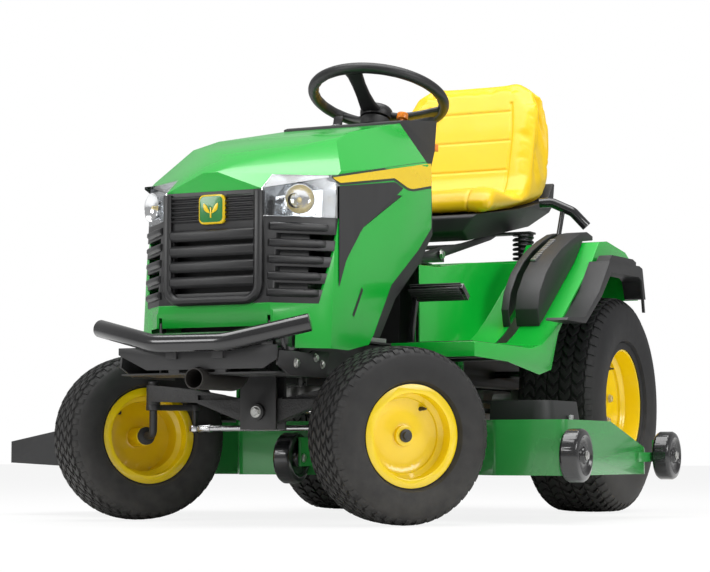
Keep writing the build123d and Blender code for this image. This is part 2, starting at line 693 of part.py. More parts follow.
def deck_block(inset, y0, y1, low):
    """The deck's outer form, smaller by inset all round, from low up to its sloping top."""
    with BuildPart() as block:
        with BuildSketch(Plane.XZ.offset(-y0)):
            with BuildLine():
                Polyline((deck_rear + inset, low), (deck_front - inset, low),
                         (deck_front - inset, deck_top - inset), (deck_slope_x, deck_top - inset),
                         (deck_rear + inset, deck_rear_top - inset + slope * inset), close=True)
            make_face()
        extrude(amount=-(y1 - y0))
        if y1 - y0 > deck_half_width:
            # bays that leave the front tyres room to steer
            for side in (1, -1):
                with BuildSketch(Plane.XY) as bay:
                    with BuildLine():
                        Polyline((deck_front + 10, side * (bay_inner - inset)),
                                 (deck_front - bay_depth - inset, side * (bay_inner + 60 - inset)),
                                 (deck_front - bay_depth - inset, side * (bay_outer - 90 + inset)),
                                 (deck_front + 10, side * (bay_outer + inset)), close=True)
                    make_face()
                extrude(amount=deck_top + 10, mode=Mode.SUBTRACT)
        fillet(block.edges().filter_by(Axis.Z).group_by(Axis.X)[-1], 24)
        fillet(block.edges().filter_by(Axis.Z).group_by(Axis.X)[0], 90 - inset)
    return block


outlet = (560.0, 880.0)
hinge_z = deck_top - 6
chute_pin_radius = 5.0


def deck_height(x):
    """Height of the deck's top plate at x."""
    return deck_top if x >= deck_slope_x else deck_top - slope * (deck_slope_x - x)


with BuildPart() as deck:
    add(deck_block(0, -deck_half_width, deck_half_width, deck_skirt))
    add(deck_block(deck_wall, -deck_half_width + deck_wall, deck_half_width - deck_wall,
                   deck_skirt - 10), mode=Mode.SUBTRACT)
    bar(outlet[0], outlet[1], -deck_half_width - 5, -deck_half_width + 30, deck_skirt - 5,
        deck_top - 14, Mode.SUBTRACT)
    for x, y in ((blade_side_x, blade_side_y), (blade_mid_x, 0), (blade_side_x, -blade_side_y)):
        rod((x, y, 190), (x, y, 260), 34.3, Mode.SUBTRACT)
    # gauge wheel brackets with their bolts
    for x, side in gauge_corners:
        edge = side * deck_half_width
        reach = side * (gauge_y + gauge_width / 2 + gauge_bolt_proud)
        bar(x - 20, x + 20, edge, edge + side * plate_thick, gauge_z - 16, gauge_z + 40)
        inward = 1 if x < deck_mid_x else -1
        bar(x, x + inward * 150, edge - side, edge + side * plate_thick, gauge_z - 16, gauge_z + 8)
        rod((x, edge, gauge_z), (x, reach, gauge_z), 6)
    for y in (-22, 36):
        bar(deck_front - 2, gauge_mid_x + 14, y, y + 6, middle_gauge_z - 20, middle_gauge_z + 50)
    rod((gauge_mid_x, -22, middle_gauge_z), (gauge_mid_x, 42, middle_gauge_z), 6)
    # ears that carry the chute's hinge rod
    for x, low in ((outlet[0] - 42, 160), (outlet[1] + 54, 200)):
        bar(x, x + 8, -deck_half_width - 16, -deck_half_width + 2, low, hinge_z + 9)
    rod((outlet[0] - 50, -deck_half_width - 8, hinge_z), (outlet[1] + 70, -deck_half_width - 8, hinge_z),
        chute_pin_radius + run_gap, Mode.SUBTRACT)
    # hanger straps beside the rails
    for side in (1, -1):
        for x in (500, 960):
            high = rail_outer_y + loose_gap
            bar(x, x + 40, side * high, side * (high + plate_thick), deck_height(x) - deck_wall,
                rail_top - 10)
ship(deck, "deck_shell")

blade_places = {"left": (blade_side_x, blade_side_y), "middle": (blade_mid_x, 0.0),
                "right": (blade_side_x, -blade_side_y)}

with BuildPart() as housings:
    for x, y in blade_places.values():
        rod((x, y, blade_z + 30), (x, y, pulley_z - 4), 34)
        rod((x, y, deck_top), (x, y, pulley_z - 8), 60)
        rod((x, y, blade_z + 20), (x, y, pulley_z + 10), 12.5 + run_gap, Mode.SUBTRACT)
ship(housings, "spindle_housings")

for name, (x, y) in blade_places.items():
    turn = 20 if name == "middle" else 0
    with BuildPart() as blade:
        rod((x, y, blade_z - 10), (x, y, pulley_z + 26), 12.5)
        rod((x, y, pulley_z - 3.5), (x, y, pulley_z + belt_thick + 8), pulley_radius)
        with BuildSketch(Plane(origin=(x, y, 0), x_dir=(1, 0, 0), z_dir=(0, -1, 0))):
            with BuildLine():
                Polyline((pulley_radius - 8, pulley_z + 5), (pulley_radius - 8, pulley_z + 15),
                         (pulley_radius + 1, pulley_z + 15), (pulley_radius + 1, pulley_z + 5),
                         close=True)
            make_face()
        revolve(axis=Axis((x, y, 0), (0, 0, 1)), mode=Mode.SUBTRACT)
        with BuildSketch(Plane.XY.offset(blade_z)):
            with Locations((x, y)):
                Rectangle(blade_radius * 2, 62, rotation=turn)
        extrude(amount=6)
        rod((x, y, blade_z - 6), (x, y, blade_z + 12), 30)
    ship(blade, f"{name}_blade")

with BuildPart() as covers:
    for side in (1, -1):
        with BuildSketch(Plane.XY.offset(deck_height(blade_side_x) + 8)):
            with Locations((blade_side_x + 20, side * (blade_side_y + 6))):
                RectangleRounded(260, 210, 50)
        extrude(amount=64, taper=8)
        with BuildSketch(Plane.XY.offset(deck_height(blade_side_x) + 6)):
            with Locations((blade_side_x + 20, side * (blade_side_y + 6))):
                RectangleRounded(252, 202, 46)
        extrude(amount=62, taper=8, mode=Mode.SUBTRACT)
        bar(blade_side_x - 76, blade_side_x + 190, side * 250, side * (blade_side_y - 50),
            200, 290, Mode.SUBTRACT)
    add(deck_block(0, -deck_half_width, deck_half_width, deck_skirt), mode=Mode.SUBTRACT)
ship(covers, "deck_covers")

belt_z = pulley_z + 6
with BuildPart() as belt:
    with BuildSketch(Plane.XY.offset(belt_z)) as loop:
        with Locations((blade_side_x, blade_side_y)):
            Circle(pulley_radius - 0.6)
        with Locations((blade_side_x, -blade_side_y)):
            Circle(pulley_radius - 0.6)
        with Locations((crank_x, 0)):
            Circle(crank_pulley_radius - 0.6)
        make_hull()
        with BuildSketch(mode=Mode.PRIVATE) as inner_loop:
            with Locations((blade_side_x, blade_side_y), (blade_side_x, -blade_side_y)):
                Circle(pulley_radius - 7.6)
            with Locations((crank_x, 0)):
                Circle(crank_pulley_radius - 7.6)
            make_hull()
        add(inner_loop.sketch, mode=Mode.SUBTRACT)
    extrude(amount=8)
ship(belt, "blade_belt")

with BuildPart() as chute:
    side = -deck_half_width
    with BuildSketch(Plane.YZ.offset(outlet[0] - 30)):
        with BuildLine():
            Polyline((side - 10, hinge_z - 4), (side - 10, hinge_z + 4), (side - 90, hinge_z - 10),
                     (side - 10 - chute_reach, chute_lip_top), (side - 10 - chute_reach, chute_lip_low),
                     (side - 6 - chute_reach, chute_lip_low), (side - 6 - chute_reach, chute_lip_top - 5),
                     (side - 90, hinge_z - 15), close=True)
        make_face()
    extrude(amount=outlet[1] - outlet[0] + 80)
    for x in (outlet[0] - 30, outlet[1] + 46):
        with BuildSketch(Plane.YZ.offset(x)):
            with BuildLine():
                Polyline((side - 12, hinge_z - 2), (side - 90, hinge_z - 12),
                         (side - 8 - chute_reach, chute_lip_top - 2), (side - 8 - chute_reach, chute_lip_low),
                         (side - 100, 132), (side - 12, 128), close=True)
            make_face()
        extrude(amount=4)
    rod((outlet[0] - 44, side - 8, hinge_z), (outlet[1] + 64, side - 8, hinge_z), chute_pin_radius)
ship(chute, "discharge_chute")

gauge_places = {"middle_front": (gauge_mid_x, 10.0)}
for name, (x, side) in zip(("left_front", "left_rear", "right_rear"), gauge_corners):
    gauge_places[name] = (x, side * gauge_y)
for name, (x, y) in gauge_places.items():
    half = gauge_width / 2
    axle_z = middle_gauge_z if name == "middle_front" else gauge_z
    with BuildPart() as gauge:
        with BuildSketch(Plane(origin=(x, y, axle_z), x_dir=(0, 1, 0), z_dir=(1, 0, 0))):
            with BuildLine():
                Polyline((-half, 6 + run_gap), (half, 6 + run_gap), (half, 16), (half - 8, 20),
                         (half - 8, gauge_radius * 0.62), (half - 1, gauge_radius * 0.74),
                         (half - 4, gauge_radius * 0.94), (half - 10, gauge_radius),
                         (-half + 10, gauge_radius), (-half + 4, gauge_radius * 0.94),
                         (-half + 1, gauge_radius * 0.74), (-half + 8, gauge_radius * 0.62),
                         (-half + 8, 20), (-half, 16), close=True)
            make_face()
        revolve(axis=Axis((x, y, axle_z), (0, 1, 0)))
    ship(gauge, f"{name}_gauge_wheel")

# ---------------------------------------------------------------- hood


def facet(a, b, c, inset, outward):
    """A plane through three points, moved inward by inset, its normal on the outward side."""
    normal = (Vector(*b) - Vector(*a)).cross(Vector(*c) - Vector(*a)).normalized()
    if normal.dot(Vector(*outward)) < 0:
        normal = normal * -1
    return Plane(origin=Vector(*a) - normal * inset, z_dir=normal)


def hood_form(inset):
    """The hood's solid form; a positive inset gives the space inside, open behind and below."""
    t = inset
    front = [(1484 - t, 500), (hood_lip_x - t, grille_top), (hood_nose_x - t, hood_nose_z - t / 2),
             (hood_brow_x - t / 3, hood_brow_z - t), (hood_crown_x, hood_crown_z - t)]
    if t:
        back = [(hood_back_x - 40, hood_back_z - t + 9), (hood_back_x - 40, 700), (850, 650),
                (1020, 545), (1120, 430), (1150, hood_bottom - 30), (1474 - t, hood_bottom - 30)]
    else:
        back = [(hood_back_x, hood_back_z), (828, 892), (809, 843), (810, 733), (891, 670), (1052, 571),
                (1154, 444), (1180, 420), (1290, hood_bottom), (1474, hood_bottom)]
    half = hood_half_width - t
    with BuildPart() as form:
        with BuildSketch(Plane.XZ.offset(-half)):
            with BuildLine():
                Polyline(*front, *back, close=True)
            make_face()
        extrude(amount=2 * half)
        for side in (1, -1):
            corner = facet((1486, side * 125, 757), (1353, side * 249, 792), (1402, side * 223, 509),
                           t, (1, side * 0.6, 0))
            split(bisect_by=corner, keep=Keep.BOTTOM)
            shoulder = facet((1334, side * 252, 812), (828, side * 250, 892), (857, side * 180, 982),
                             t, (0, side, 1))
            split(bisect_by=shoulder, keep=Keep.BOTTOM)
            brow = facet((1487, side * 125, 765), (1334, side * 252, 812), (1417, side * 60, 845),
                         t, (1, side, 1))
            split(bisect_by=brow, keep=Keep.BOTTOM)
    return form


def side_cut(points, y0, y1):
    """A solid from a side view, made apart from any part."""
    with BuildPart(mode=Mode.PRIVATE) as block:
        with BuildSketch(Plane.XZ.offset(-y1)):
            with BuildLine():
                Polyline(*points, close=True)
            make_face()
        extrude(amount=y1 - y0)
    return block.part


grille_view = [(1600, grille_bottom), (1398, grille_bottom), (1345, lamp_bottom), (1345, grille_top),
               (1600, grille_top)]
lamp_view = [(1600, lamp_bottom), (1328, lamp_bottom + 4), (1338, 803), (1600, 803)]
vent_view = [(1326, 706), (1262, 672), (985, 796), (1334, 778)]
hood_outer = hood_form(0).part
hood_inner = hood_form(hood_wall).part

with BuildPart() as hood:
    add(hood_outer)
    add(hood_inner, mode=Mode.SUBTRACT)
    add(side_cut(grille_view, -300, 300), mode=Mode.SUBTRACT)
    for side in (1, -1):
        add(side_cut(lamp_view, min(side * lamp_inner_y, side * 300), max(side * lamp_inner_y, side * 300)),
            mode=Mode.SUBTRACT)
        add(side_cut(vent_view, min(side * 230, side * 300), max(side * 230, side * 300)),
            mode=Mode.SUBTRACT)
    bar(hood_crown_x - 12, hood_crown_x - 2, -104, 104, 900, 960, Mode.SUBTRACT)
    bar(1400, 1500, -190, 190, hood_bottom - 10, 452, Mode.SUBTRACT)
    # hinge arms and their pins, with a notch that clears each ear as the hood tips
    for side in (1, -1):
        bar(hood_pivot_x + 2, 1500, side * (ear_y - 2), side * (ear_y + plate_thick + 0.2),
            hood_pivot_z - 10, hood_pivot_z + 18, Mode.SUBTRACT)
        y = side * (ear_y + plate_thick + loose_gap)
        bar(hood_pivot_x - 12, 1481, y, y + side * plate_thick, hood_pivot_z - 6, hood_pivot_z + 28)
        rod((hood_pivot_x, side * (ear_y - 2), hood_pivot_z),
            (hood_pivot_x, side * (ear_y + 2 * plate_thick + loose_gap), hood_pivot_z), hood_pin_radius)
ship(hood, "hood_shell")

panel_inner = hood_form(16).part
with BuildPart() as grille:
    add(hood_outer)
    add(panel_inner, mode=Mode.SUBTRACT)
    add(side_cut(grille_view, -300, 300), mode=Mode.INTERSECT)
    for side in (1, -1):
        low, high = min(side * lamp_inner_y, side * 300), max(side * lamp_inner_y, side * 300)
        add(side_cut(lamp_view, low, high), mode=Mode.SUBTRACT)
        for step in range(4):
            z = 536 + step * 38
            bar(1300, 1500, side * 152, side * 300, z, z + 14, Mode.SUBTRACT)
    for step in range(4):
        z = 530 + step * 36
        bar(1420, 1540, -104, 104, z, z + 15, Mode.SUBTRACT)
    # black side panels behind the lamps
    for side in (1, -1):
        y0, y1 = side * (hood_half_width - 5), side * (hood_half_width - 1)
        add(side_cut(vent_view, min(y0, y1), max(y0, y1)))
ship(grille, "grille")

lamp_inner = hood_form(46).part
with BuildPart() as lamps:
    for side in (1, -1):
        low, high = min(side * lamp_inner_y, side * 300), max(side * lamp_inner_y, side * 300)
        with BuildPart(mode=Mode.PRIVATE) as lamp:
            add(hood_outer)
            add(lamp_inner, mode=Mode.SUBTRACT)
            add(side_cut(lamp_view, low, high), mode=Mode.INTERSECT)
        add(lamp.part)
ship(lamps, "headlights")

# ---------------------------------------------------------------- fender body

fender_view = [(footrest_front, footrest_floor), (640, footrest_floor), (560, 446), (480, 482),
               (411, 524), (295, 605), (174, 690), (108, 752), (40, 760), (-120, 742), (-232, 690)]
tunnel_front = 850.0
tower_rear = 689.0
tunnel_view = [(tunnel_front, 430), (tunnel_front, 637), (731, 640), (532, 668), (319, 686), (100, 700), (-232, 694),
               (-232, 430)]


def thinned(points, wall):
    """The same open outline lowered and moved in by a wall, for the underside of a panel."""
    return [(x - (wall if x > 0 else -wall) * 0.5, z - wall * 1.15) for x, z in points]


skirt_view = [(footrest_front, 396), (800, 391), (582, 366), (494, 382), (440, 480), (330, 572),
              (250, 628), (120, 672), (-120, 672), (-232, 610)]
with BuildPart() as fender:
    side_profile(fender_view + [(-232, 340), (footrest_front, 340)], -fender_half_width,
                 fender_half_width)
    inner_view = [(footrest_front - fender_wall, footrest_floor - fender_wall)]
    inner_view += [(640 - fender_wall, footrest_floor - fender_wall)]
    inner_view += thinned(fender_view[2:-1], fender_wall)
    inner_view += [(-228, 684), (-228, 300), (footrest_front - fender_wall, 300)]
    side_profile(tunnel_view, -tunnel_half_width, tunnel_half_width)
    side_profile(inner_view, -fender_half_width + fender_wall, fender_half_width - fender_wall,
                 Mode.SUBTRACT)
    tunnel_inner = [(tunnel_front - 4, 300), (tunnel_front - 4, 633), (731, 636), (532, 664), (319, 682), (100, 696),
                    (-228, 688), (-228, 300)]
    side_profile(tunnel_inner, -tunnel_half_width + fender_wall, tunnel_half_width - fender_wall,
                 Mode.SUBTRACT)
    # the lower edge of the skirts and the wheel arches
    side_profile(skirt_view + [(-400, 600), (-400, 200), (footrest_front + 10, 200),
                               (footrest_front + 10, 396)], -600, 600, Mode.SUBTRACT)
    # between the fenders the seat platform lies lower
    side_profile([(1100, 704), (400, 704), (100, 704), (-300, 704), (-300, 900), (1100, 900)],
                 -tunnel_half_width, tunnel_half_width, Mode.SUBTRACT)
    # the dash tower and the frame pass through the middle
    bar(tower_rear - 1, tunnel_front + 1, -dash_half_width - 1, dash_half_width + 1, 400, 700,
        Mode.SUBTRACT)
    bar(tunnel_front - 6, footrest_front + 1, -tunnel_half_width + 4, tunnel_half_width - 4, 380, 640,
        Mode.SUBTRACT)
    # slots for the pedals and for the lift lever
    for side, x, y in ((1, pedal_x, 250), (-1, pedal_x, 250), (-1, pedal_x - 70, 276)):
        bar(x - 40, x + 45, side * (y - 10), side * (y + 10), 400, 440, Mode.SUBTRACT)
    bar(20, 545, lever_y - 16, lever_y + 16, 420, 800, Mode.SUBTRACT)
ship(fender, "fender_body")

# ---------------------------------------------------------------- lift console and fender trims

console_inner_y = lever_y - 30
console_outer_y = 404.0
with BuildPart() as console:
    view = [(452, 499.3), (464, 545), (447, 592), (400, 645), (347, 684), (280, 720), (200, 752),
            (120, 778), (70, 786), (24, 778)]
    under = [(24, 766), (40, 764), (108, 756), (174, 694), (295, 609), (411, 528), (440, 510)]
    side_profile(view + under, console_inner_y, console_outer_y)
    side_profile([(447, 500), (458, 545), (441, 590), (396, 641), (343, 679), (277, 715), (198, 747),
                  (119, 772), (68, 780), (10, 774), (10, 700), (300, 560), (430, 480)],
                 console_inner_y + 5, console_outer_y - 5, Mode.SUBTRACT)
    bar(45, 470, lever_y - 9, lever_y + 9, 480, 830, Mode.SUBTRACT)
ship(console, "lift_console")

trim_outer_y = 512.0
trim_view = [(536, 509), (528, 516), (398, 524), (282, 600), (192, 690), (-66, 696), (-92, 690),
             (-118, 604), (-108, 606), (-84, 655), (-60, 664), (178, 660), (262, 588), (392, 508)]
with BuildPart() as trims:
    for side in (1, -1):
        side_profile(trim_view, side * (fender_half_width + 0.0), side * trim_outer_y)
        side_profile([(180, 688), (-56, 694), (-60, 706), (-30, 713), (150, 710)],
                     side * (fender_half_width + 14), side * (trim_outer_y - 8))
        side_profile([(-88, 690), (-112, 566), (-104, 566), (-76, 690)],
                     side * (trim_outer_y - 7), side * trim_outer_y)
ship(trims, "fender_trims")

# ---------------------------------------------------------------- dash tower

tower_view = [(585, 1044), (800, 1016), (818, 1010), (818, 700), (830, rail_top), (700, rail_top),
              (690, 640), (640, 880), (600, 960)]
panel_view = [(832, 893), (822, 735), (904, 668), (1064, 568), (1148, 442), (1092, 442),
              (1004, 540), (856, 640), (776, 720), (782, 900)]
panel_y = 238.0
knob_x = 650.0
knob_y = 95.0
knob_z = 1035.5
with BuildPart() as tower:
    side_profile(tower_view, -dash_half_width, dash_half_width)
    side_profile([(591, 1038), (796, 1011), (813, 1005), (813, 700), (825, 430), (705, 430),
                  (695, 640), (645, 882), (606, 962)], -dash_half_width + 5, dash_half_width - 5,
                 Mode.SUBTRACT)
    for side in (1, -1):
        side_profile(panel_view, side * (panel_y - 8), side * panel_y)
        bar(790, 812, side * (dash_half_width - 4), side * (panel_y - 4), 740, 880)
    # raised collar under the steering wheel
    collar = hub - column * (dish + 8)
    rod(tuple(collar - column * 24), tuple(collar), 40)
    rod(tuple(collar - column * 120), tuple(collar + column * 10), shaft_radius + loose_gap,
        Mode.SUBTRACT)
    # ways for the knob, the throttle and the key
    for y, spread in ((knob_y, 5.5), (-knob_y, 9.5)):
        seat = Vector(knob_x, y, knob_z)
        rod(tuple(seat - column * 30), tuple(seat + column * 30), spread, Mode.SUBTRACT)
    bar(570, 640, 141, 151, 958, 994, Mode.SUBTRACT)
ship(tower, "dash_tower")

with BuildPart() as clutch_knob:
    seat = Vector(knob_x, knob_y, knob_z)
    rod(tuple(seat - column * 28), tuple(seat + column * 12), 5)
    rod(tuple(seat + column * 9), tuple(seat + column * 27), 15)
    fillet(clutch_knob.edges().filter_by(GeomType.CIRCLE).sort_by(Axis.Z)[-1], 4)
ship(clutch_knob, "blade_clutch_knob")

throttle_x = 660.0
throttle_z = 976.0
with BuildPart() as throttle:
    rod((throttle_x, 130, throttle_z), (throttle_x, dash_half_width - 5.3, throttle_z), 9)
    bar(572, throttle_x, 142, 150, throttle_z - 4, throttle_z + 4)
    bar(548, 574, 134, 158, throttle_z - 9, throttle_z + 9)
    fillet(throttle.edges().filter_by(Axis.Z).group_by(Axis.X)[0], 6)
ship(throttle, "throttle_lever")

with BuildPart() as ignition_key:
    seat = Vector(knob_x, -knob_y, knob_z)
    rod(tuple(seat - column * 24), tuple(seat + column * 8), 9)
    with BuildSketch(Plane(origin=seat + column * 8, x_dir=(0, 1, 0), z_dir=column)):
        Rectangle(26, 5)
    extrude(amount=24)
ship(ignition_key, "ignition_key")

# ---------------------------------------------------------------- seat

arm_y = 104.0
with BuildPart() as seat_base:
    # base bracket bolted to the seat platform
    for side in (1, -1):
        side_profile([(600, 672), (600, 690), (470, 716), (418, 716), (414, 688)],
                     side * (arm_y + 10), side * (arm_y + 4))
    bar(414, 600, -arm_y - 10, arm_y + 10, 684, 689)
    bar(560, 600, -arm_y - 10, arm_y + 10, 640, 690)
    bar(540, 610, -arm_y - 30, arm_y + 30, 664, 669)
    for side in (1, -1):
        rod((seat_pivot_x, side * (arm_y + 2), seat_pivot_z), (seat_pivot_x, side * (arm_y + 14),
            seat_pivot_z), seat_pin_radius + run_gap, Mode.SUBTRACT)
        # coil springs on their posts
        for z in range(6):
            rod((spring_x, side * spring_y, 704 + z * 14), (spring_x, side * spring_y, 711 + z * 14), 26)
        rod((spring_x, side * spring_y, 697), (spring_x, side * spring_y, spring_top - 0.7), 15)
    side_profile([(1100, 600), (1100, 640.0), (880, 636), (731, 640.3), (532, 668.3), (319, 686.3),
                  (319, 600)], -arm_y - 40, arm_y + 40, Mode.SUBTRACT)
ship(seat_base, "seat_support")

with BuildPart() as seat_frame:
    for side in (1, -1):
        side_profile([(449, 697), (454, 712), (430, 722), (250, 752), (60, 792), (20, spring_top + 6),
                      (10, spring_top), (50, 778), (240, 736), (424, 694)],
                     side * arm_y, side * (arm_y - 8))
        rod((seat_pivot_x, side * (arm_y - 8), seat_pivot_z), (seat_pivot_x, side * (arm_y + 13),
            seat_pivot_z), seat_pin_radius)
    bar(8, 54, -spring_y - 30, spring_y + 30, spring_top, spring_top + 6)
    bar(236, 260, -arm_y, arm_y, 738, 748)
ship(seat_frame, "seat_frame")

pan_view = [(338, 812), (330, 776), (250, 758), (54, spring_top + 6.6), (-60, 824), (-150, 892),
            (-164, 958), (-155, 960), (-104, 902), (98, 858),
            (280, 830), (330, 822)]
with BuildPart() as seat_pan:
    side_profile(pan_view, -seat_half_width + 4, seat_half_width - 4)
    for side in (1, -1):
        with BuildSketch(Plane.YZ.offset(-200)) as flank:
            with BuildLine():
                Polyline((side * 118, 700), (side * 118, 758), (side * 232, 882), (side * 300, 882),
                         (side * 300, 700), close=True)
            make_face()
        extrude(flank.sketch, amount=600, mode=Mode.SUBTRACT)
ship(seat_pan, "seat_pan")

cushion_view = [(332, 823), (338, 862), (310, 905), (60, 890), (16, 960), (-28, 1110), (-70, 1240),
                (-100, seat_top), (-138, 1262), (-150, 1120), (-149, 976), (-102, 902.4), (99, 858.6),
                (281, 830.6)]
with BuildPart() as cushion:
    side_profile(cushion_view, -seat_half_width, seat_half_width)
    for side in (1, -1):
        with BuildSketch(Plane.YZ.offset(-200)) as shoulder:
            with BuildLine():
                Polyline((side * 300, 1150), (side * 226, 1150), (side * 215, 1215),
                         (side * 150, 1232), (side * 140, seat_top + 5), (side * 300, seat_top + 5),
                         close=True)
            make_face()
        extrude(shoulder.sketch, amount=600, mode=Mode.SUBTRACT)
ship(cushion, "seat_cushion")

# ---------------------------------------------------------------- lift lever and pedals

with BuildPart() as lift_lever:
    rod((lever_pivot_x, -rail_outer_y - 8, lever_pivot_z), (lever_pivot_x, 246, lever_pivot_z),
        lever_shaft_radius)
    with BuildLine() as stem:
        FilletPolyline((lever_pivot_x, 236, lever_pivot_z), (126, 236, 612), (122, lever_y, 632),
                       (102, lever_y, 775), (66, lever_y, 852), radius=18)
    with BuildSketch(Plane(origin=stem.line @ 0, z_dir=stem.line % 0)):
        Circle(7)
    sweep()
    with BuildLine() as handle:
        FilletPolyline((88, lever_y - 62, 872), (78, lever_y - 30, 874), (60, lever_y + 28, 846),
                       (46, lever_y + 64, 804), radius=40)
    with BuildSketch(Plane(origin=handle.line @ 0, z_dir=handle.line % 0)):
        Circle(14)
    sweep()
ship(lift_lever, "lift_lever")


def pedal(name, x, y0, y1, pad_x, pad_z, pad_depth, arm_y0):
    """A foot pedal: a cross shaft through the rail, a flat arm and a ribbed rubber pad."""
    side = 1 if y0 > 0 else -1
    with BuildPart() as piece:
        rod((x, side * (rail_inner_y - 8), pedal_z), (x, arm_y0 + side * pedal_arm, pedal_z),
            pedal_shaft_radius)
        side_profile([(x - 11, pedal_z - 8), (x + 11, pedal_z - 8), (x + 8, pedal_z + 90),
                      (pad_x + 8, pad_z), (pad_x - 8, pad_z), (x - 8, pedal_z + 90)],
                     min(arm_y0, arm_y0 + side * pedal_arm), max(arm_y0, arm_y0 + side * pedal_arm))
        reach = pad_depth / 2
        side_profile([(pad_x - reach, pad_z - reach * 0.55), (pad_x - reach + 10, pad_z - reach * 0.55 - 12),
                      (pad_x + reach, pad_z + reach * 0.55 - 12), (pad_x + reach - 10, pad_z + reach * 0.55)],
                     y0, y1)
    ship(piece, name)


pedal("brake_pedal", pedal_x, 240, 383, 902, 566, 50, 244)
pedal("forward_pedal", pedal_x, -244, -330, 918, 548, 48, -244)
pedal("reverse_pedal", pedal_x - 70, -270, -356, 824, 500, 48, -270)
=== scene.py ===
from math import cos, exp, pi, radians, sin
import bmesh
import bpy
from mathutils import Matrix, Vector, noise
from mathutils.bvhtree import BVHTree


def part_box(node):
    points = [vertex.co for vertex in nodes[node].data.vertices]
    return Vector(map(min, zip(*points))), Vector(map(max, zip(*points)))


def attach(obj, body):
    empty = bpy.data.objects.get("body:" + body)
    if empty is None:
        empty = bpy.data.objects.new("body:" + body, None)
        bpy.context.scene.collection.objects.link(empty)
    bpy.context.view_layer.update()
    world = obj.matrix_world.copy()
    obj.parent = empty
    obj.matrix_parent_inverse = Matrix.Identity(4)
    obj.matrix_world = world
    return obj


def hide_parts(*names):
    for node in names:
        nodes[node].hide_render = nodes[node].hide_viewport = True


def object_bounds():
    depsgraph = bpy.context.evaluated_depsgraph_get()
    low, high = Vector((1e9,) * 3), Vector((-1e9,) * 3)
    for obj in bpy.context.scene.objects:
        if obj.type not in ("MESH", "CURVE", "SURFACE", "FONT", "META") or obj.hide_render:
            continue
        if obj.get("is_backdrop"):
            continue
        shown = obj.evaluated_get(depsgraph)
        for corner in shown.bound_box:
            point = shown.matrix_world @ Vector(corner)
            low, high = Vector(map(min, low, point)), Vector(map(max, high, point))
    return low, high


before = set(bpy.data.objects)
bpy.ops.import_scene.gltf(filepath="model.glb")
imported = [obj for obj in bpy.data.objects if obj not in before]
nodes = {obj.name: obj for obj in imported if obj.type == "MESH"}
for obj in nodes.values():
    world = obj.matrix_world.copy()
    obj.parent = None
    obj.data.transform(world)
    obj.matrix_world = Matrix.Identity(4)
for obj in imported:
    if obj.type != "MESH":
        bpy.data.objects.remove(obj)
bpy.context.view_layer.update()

# ---------------------------------------------------------------- where things are
# The rear axle is the datum that the whole tractor is set out from. It lies midway between
# the two rear tyres, and heights are taken from the floor.


def middle_of(node):
    low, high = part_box(node)
    return (low + high) / 2


rear_axle = (middle_of("left_rear_tyre") + middle_of("right_rear_tyre")) / 2


def at(x, y, z):
    """The point x mm ahead of the rear axle, y mm to the driver's left and z mm up."""
    return Vector((rear_axle.x + x / 1000, rear_axle.y + y / 1000, z / 1000))


# ---------------------------------------------------------------- studio
# A pale floor that runs up to a white backdrop, with soft boxes above and to each side.
# The camera is low and a few metres off, ahead and to the left of the tractor.


def linked(obj):
    bpy.context.scene.collection.objects.link(obj)
    return obj


def plain(name, colour, rough):
    mat = bpy.data.materials.new(name)
    mat.use_nodes = True
    shader = mat.node_tree.nodes["Principled BSDF"]
    shader.inputs["Base Color"].default_value = (*colour, 1)
    shader.inputs["Roughness"].default_value = rough
    return mat


floor_mesh = bpy.data.meshes.new("studio_floor")
floor_mesh.from_pydata([(-30, -30, 0), (30, -30, 0), (30, 30, 0), (-30, 30, 0)], [], [(0, 1, 2, 3)])
paper = plain("studio_paper", (0.9, 0.9, 0.9), 0.55)
paper_glow = 0.86
tree = paper.node_tree
glow = tree.nodes.new("ShaderNodeEmission")
glow.inputs["Strength"].default_value = 1.0
seen_by = tree.nodes.new("ShaderNodeLightPath")
share = tree.nodes.new("ShaderNodeMath")
share.operation = "MULTIPLY"
share.inputs[1].default_value = paper_glow
either = tree.nodes.new("ShaderNodeMixShader")
tree.links.new(seen_by.outputs["Is Camera Ray"], share.inputs[0])
tree.links.new(share.outputs["Value"], either.inputs["Fac"])
tree.links.new(tree.nodes["Principled BSDF"].outputs["BSDF"], either.inputs[1])
tree.links.new(glow.outputs["Emission"], either.inputs[2])
tree.links.new(either.outputs["Shader"], tree.nodes["Material Output"].inputs["Surface"])
floor_mesh.materials.append(paper)
linked(bpy.data.objects.new("studio_floor", floor_mesh))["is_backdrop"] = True

world = bpy.data.worlds.new("studio")
bpy.context.scene.world = world
world.use_nodes = True
tree = world.node_tree
fill_light = tree.nodes["Background"]
backdrop = tree.nodes.new("ShaderNodeBackground")
for white_light, strength in ((fill_light, 0.42), (backdrop, 1.0)):
    white_light.inputs["Color"].default_value = (1, 1, 1, 1)
    white_light.inputs["Strength"].default_value = strength
seen_by = tree.nodes.new("ShaderNodeLightPath")
either = tree.nodes.new("ShaderNodeMixShader")
tree.links.new(seen_by.outputs["Is Camera Ray"], either.inputs["Fac"])
tree.links.new(fill_light.outputs["Background"], either.inputs[1])
tree.links.new(backdrop.outputs["Background"], either.inputs[2])
tree.links.new(either.outputs["Shader"], tree.nodes["World Output"].inputs["Surface"])


def soft_box(name, place, aim, width, height, power):
    lamp = bpy.data.lights.new(name, "AREA")
    lamp.shape = "RECTANGLE"
    lamp.size = width
    lamp.size_y = height
    lamp.energy = power
    box = linked(bpy.data.objects.new(name, lamp))
    box.location = place
    box.rotation_euler = (Vector(aim) - Vector(place)).to_track_quat("-Z", "Y").to_euler()


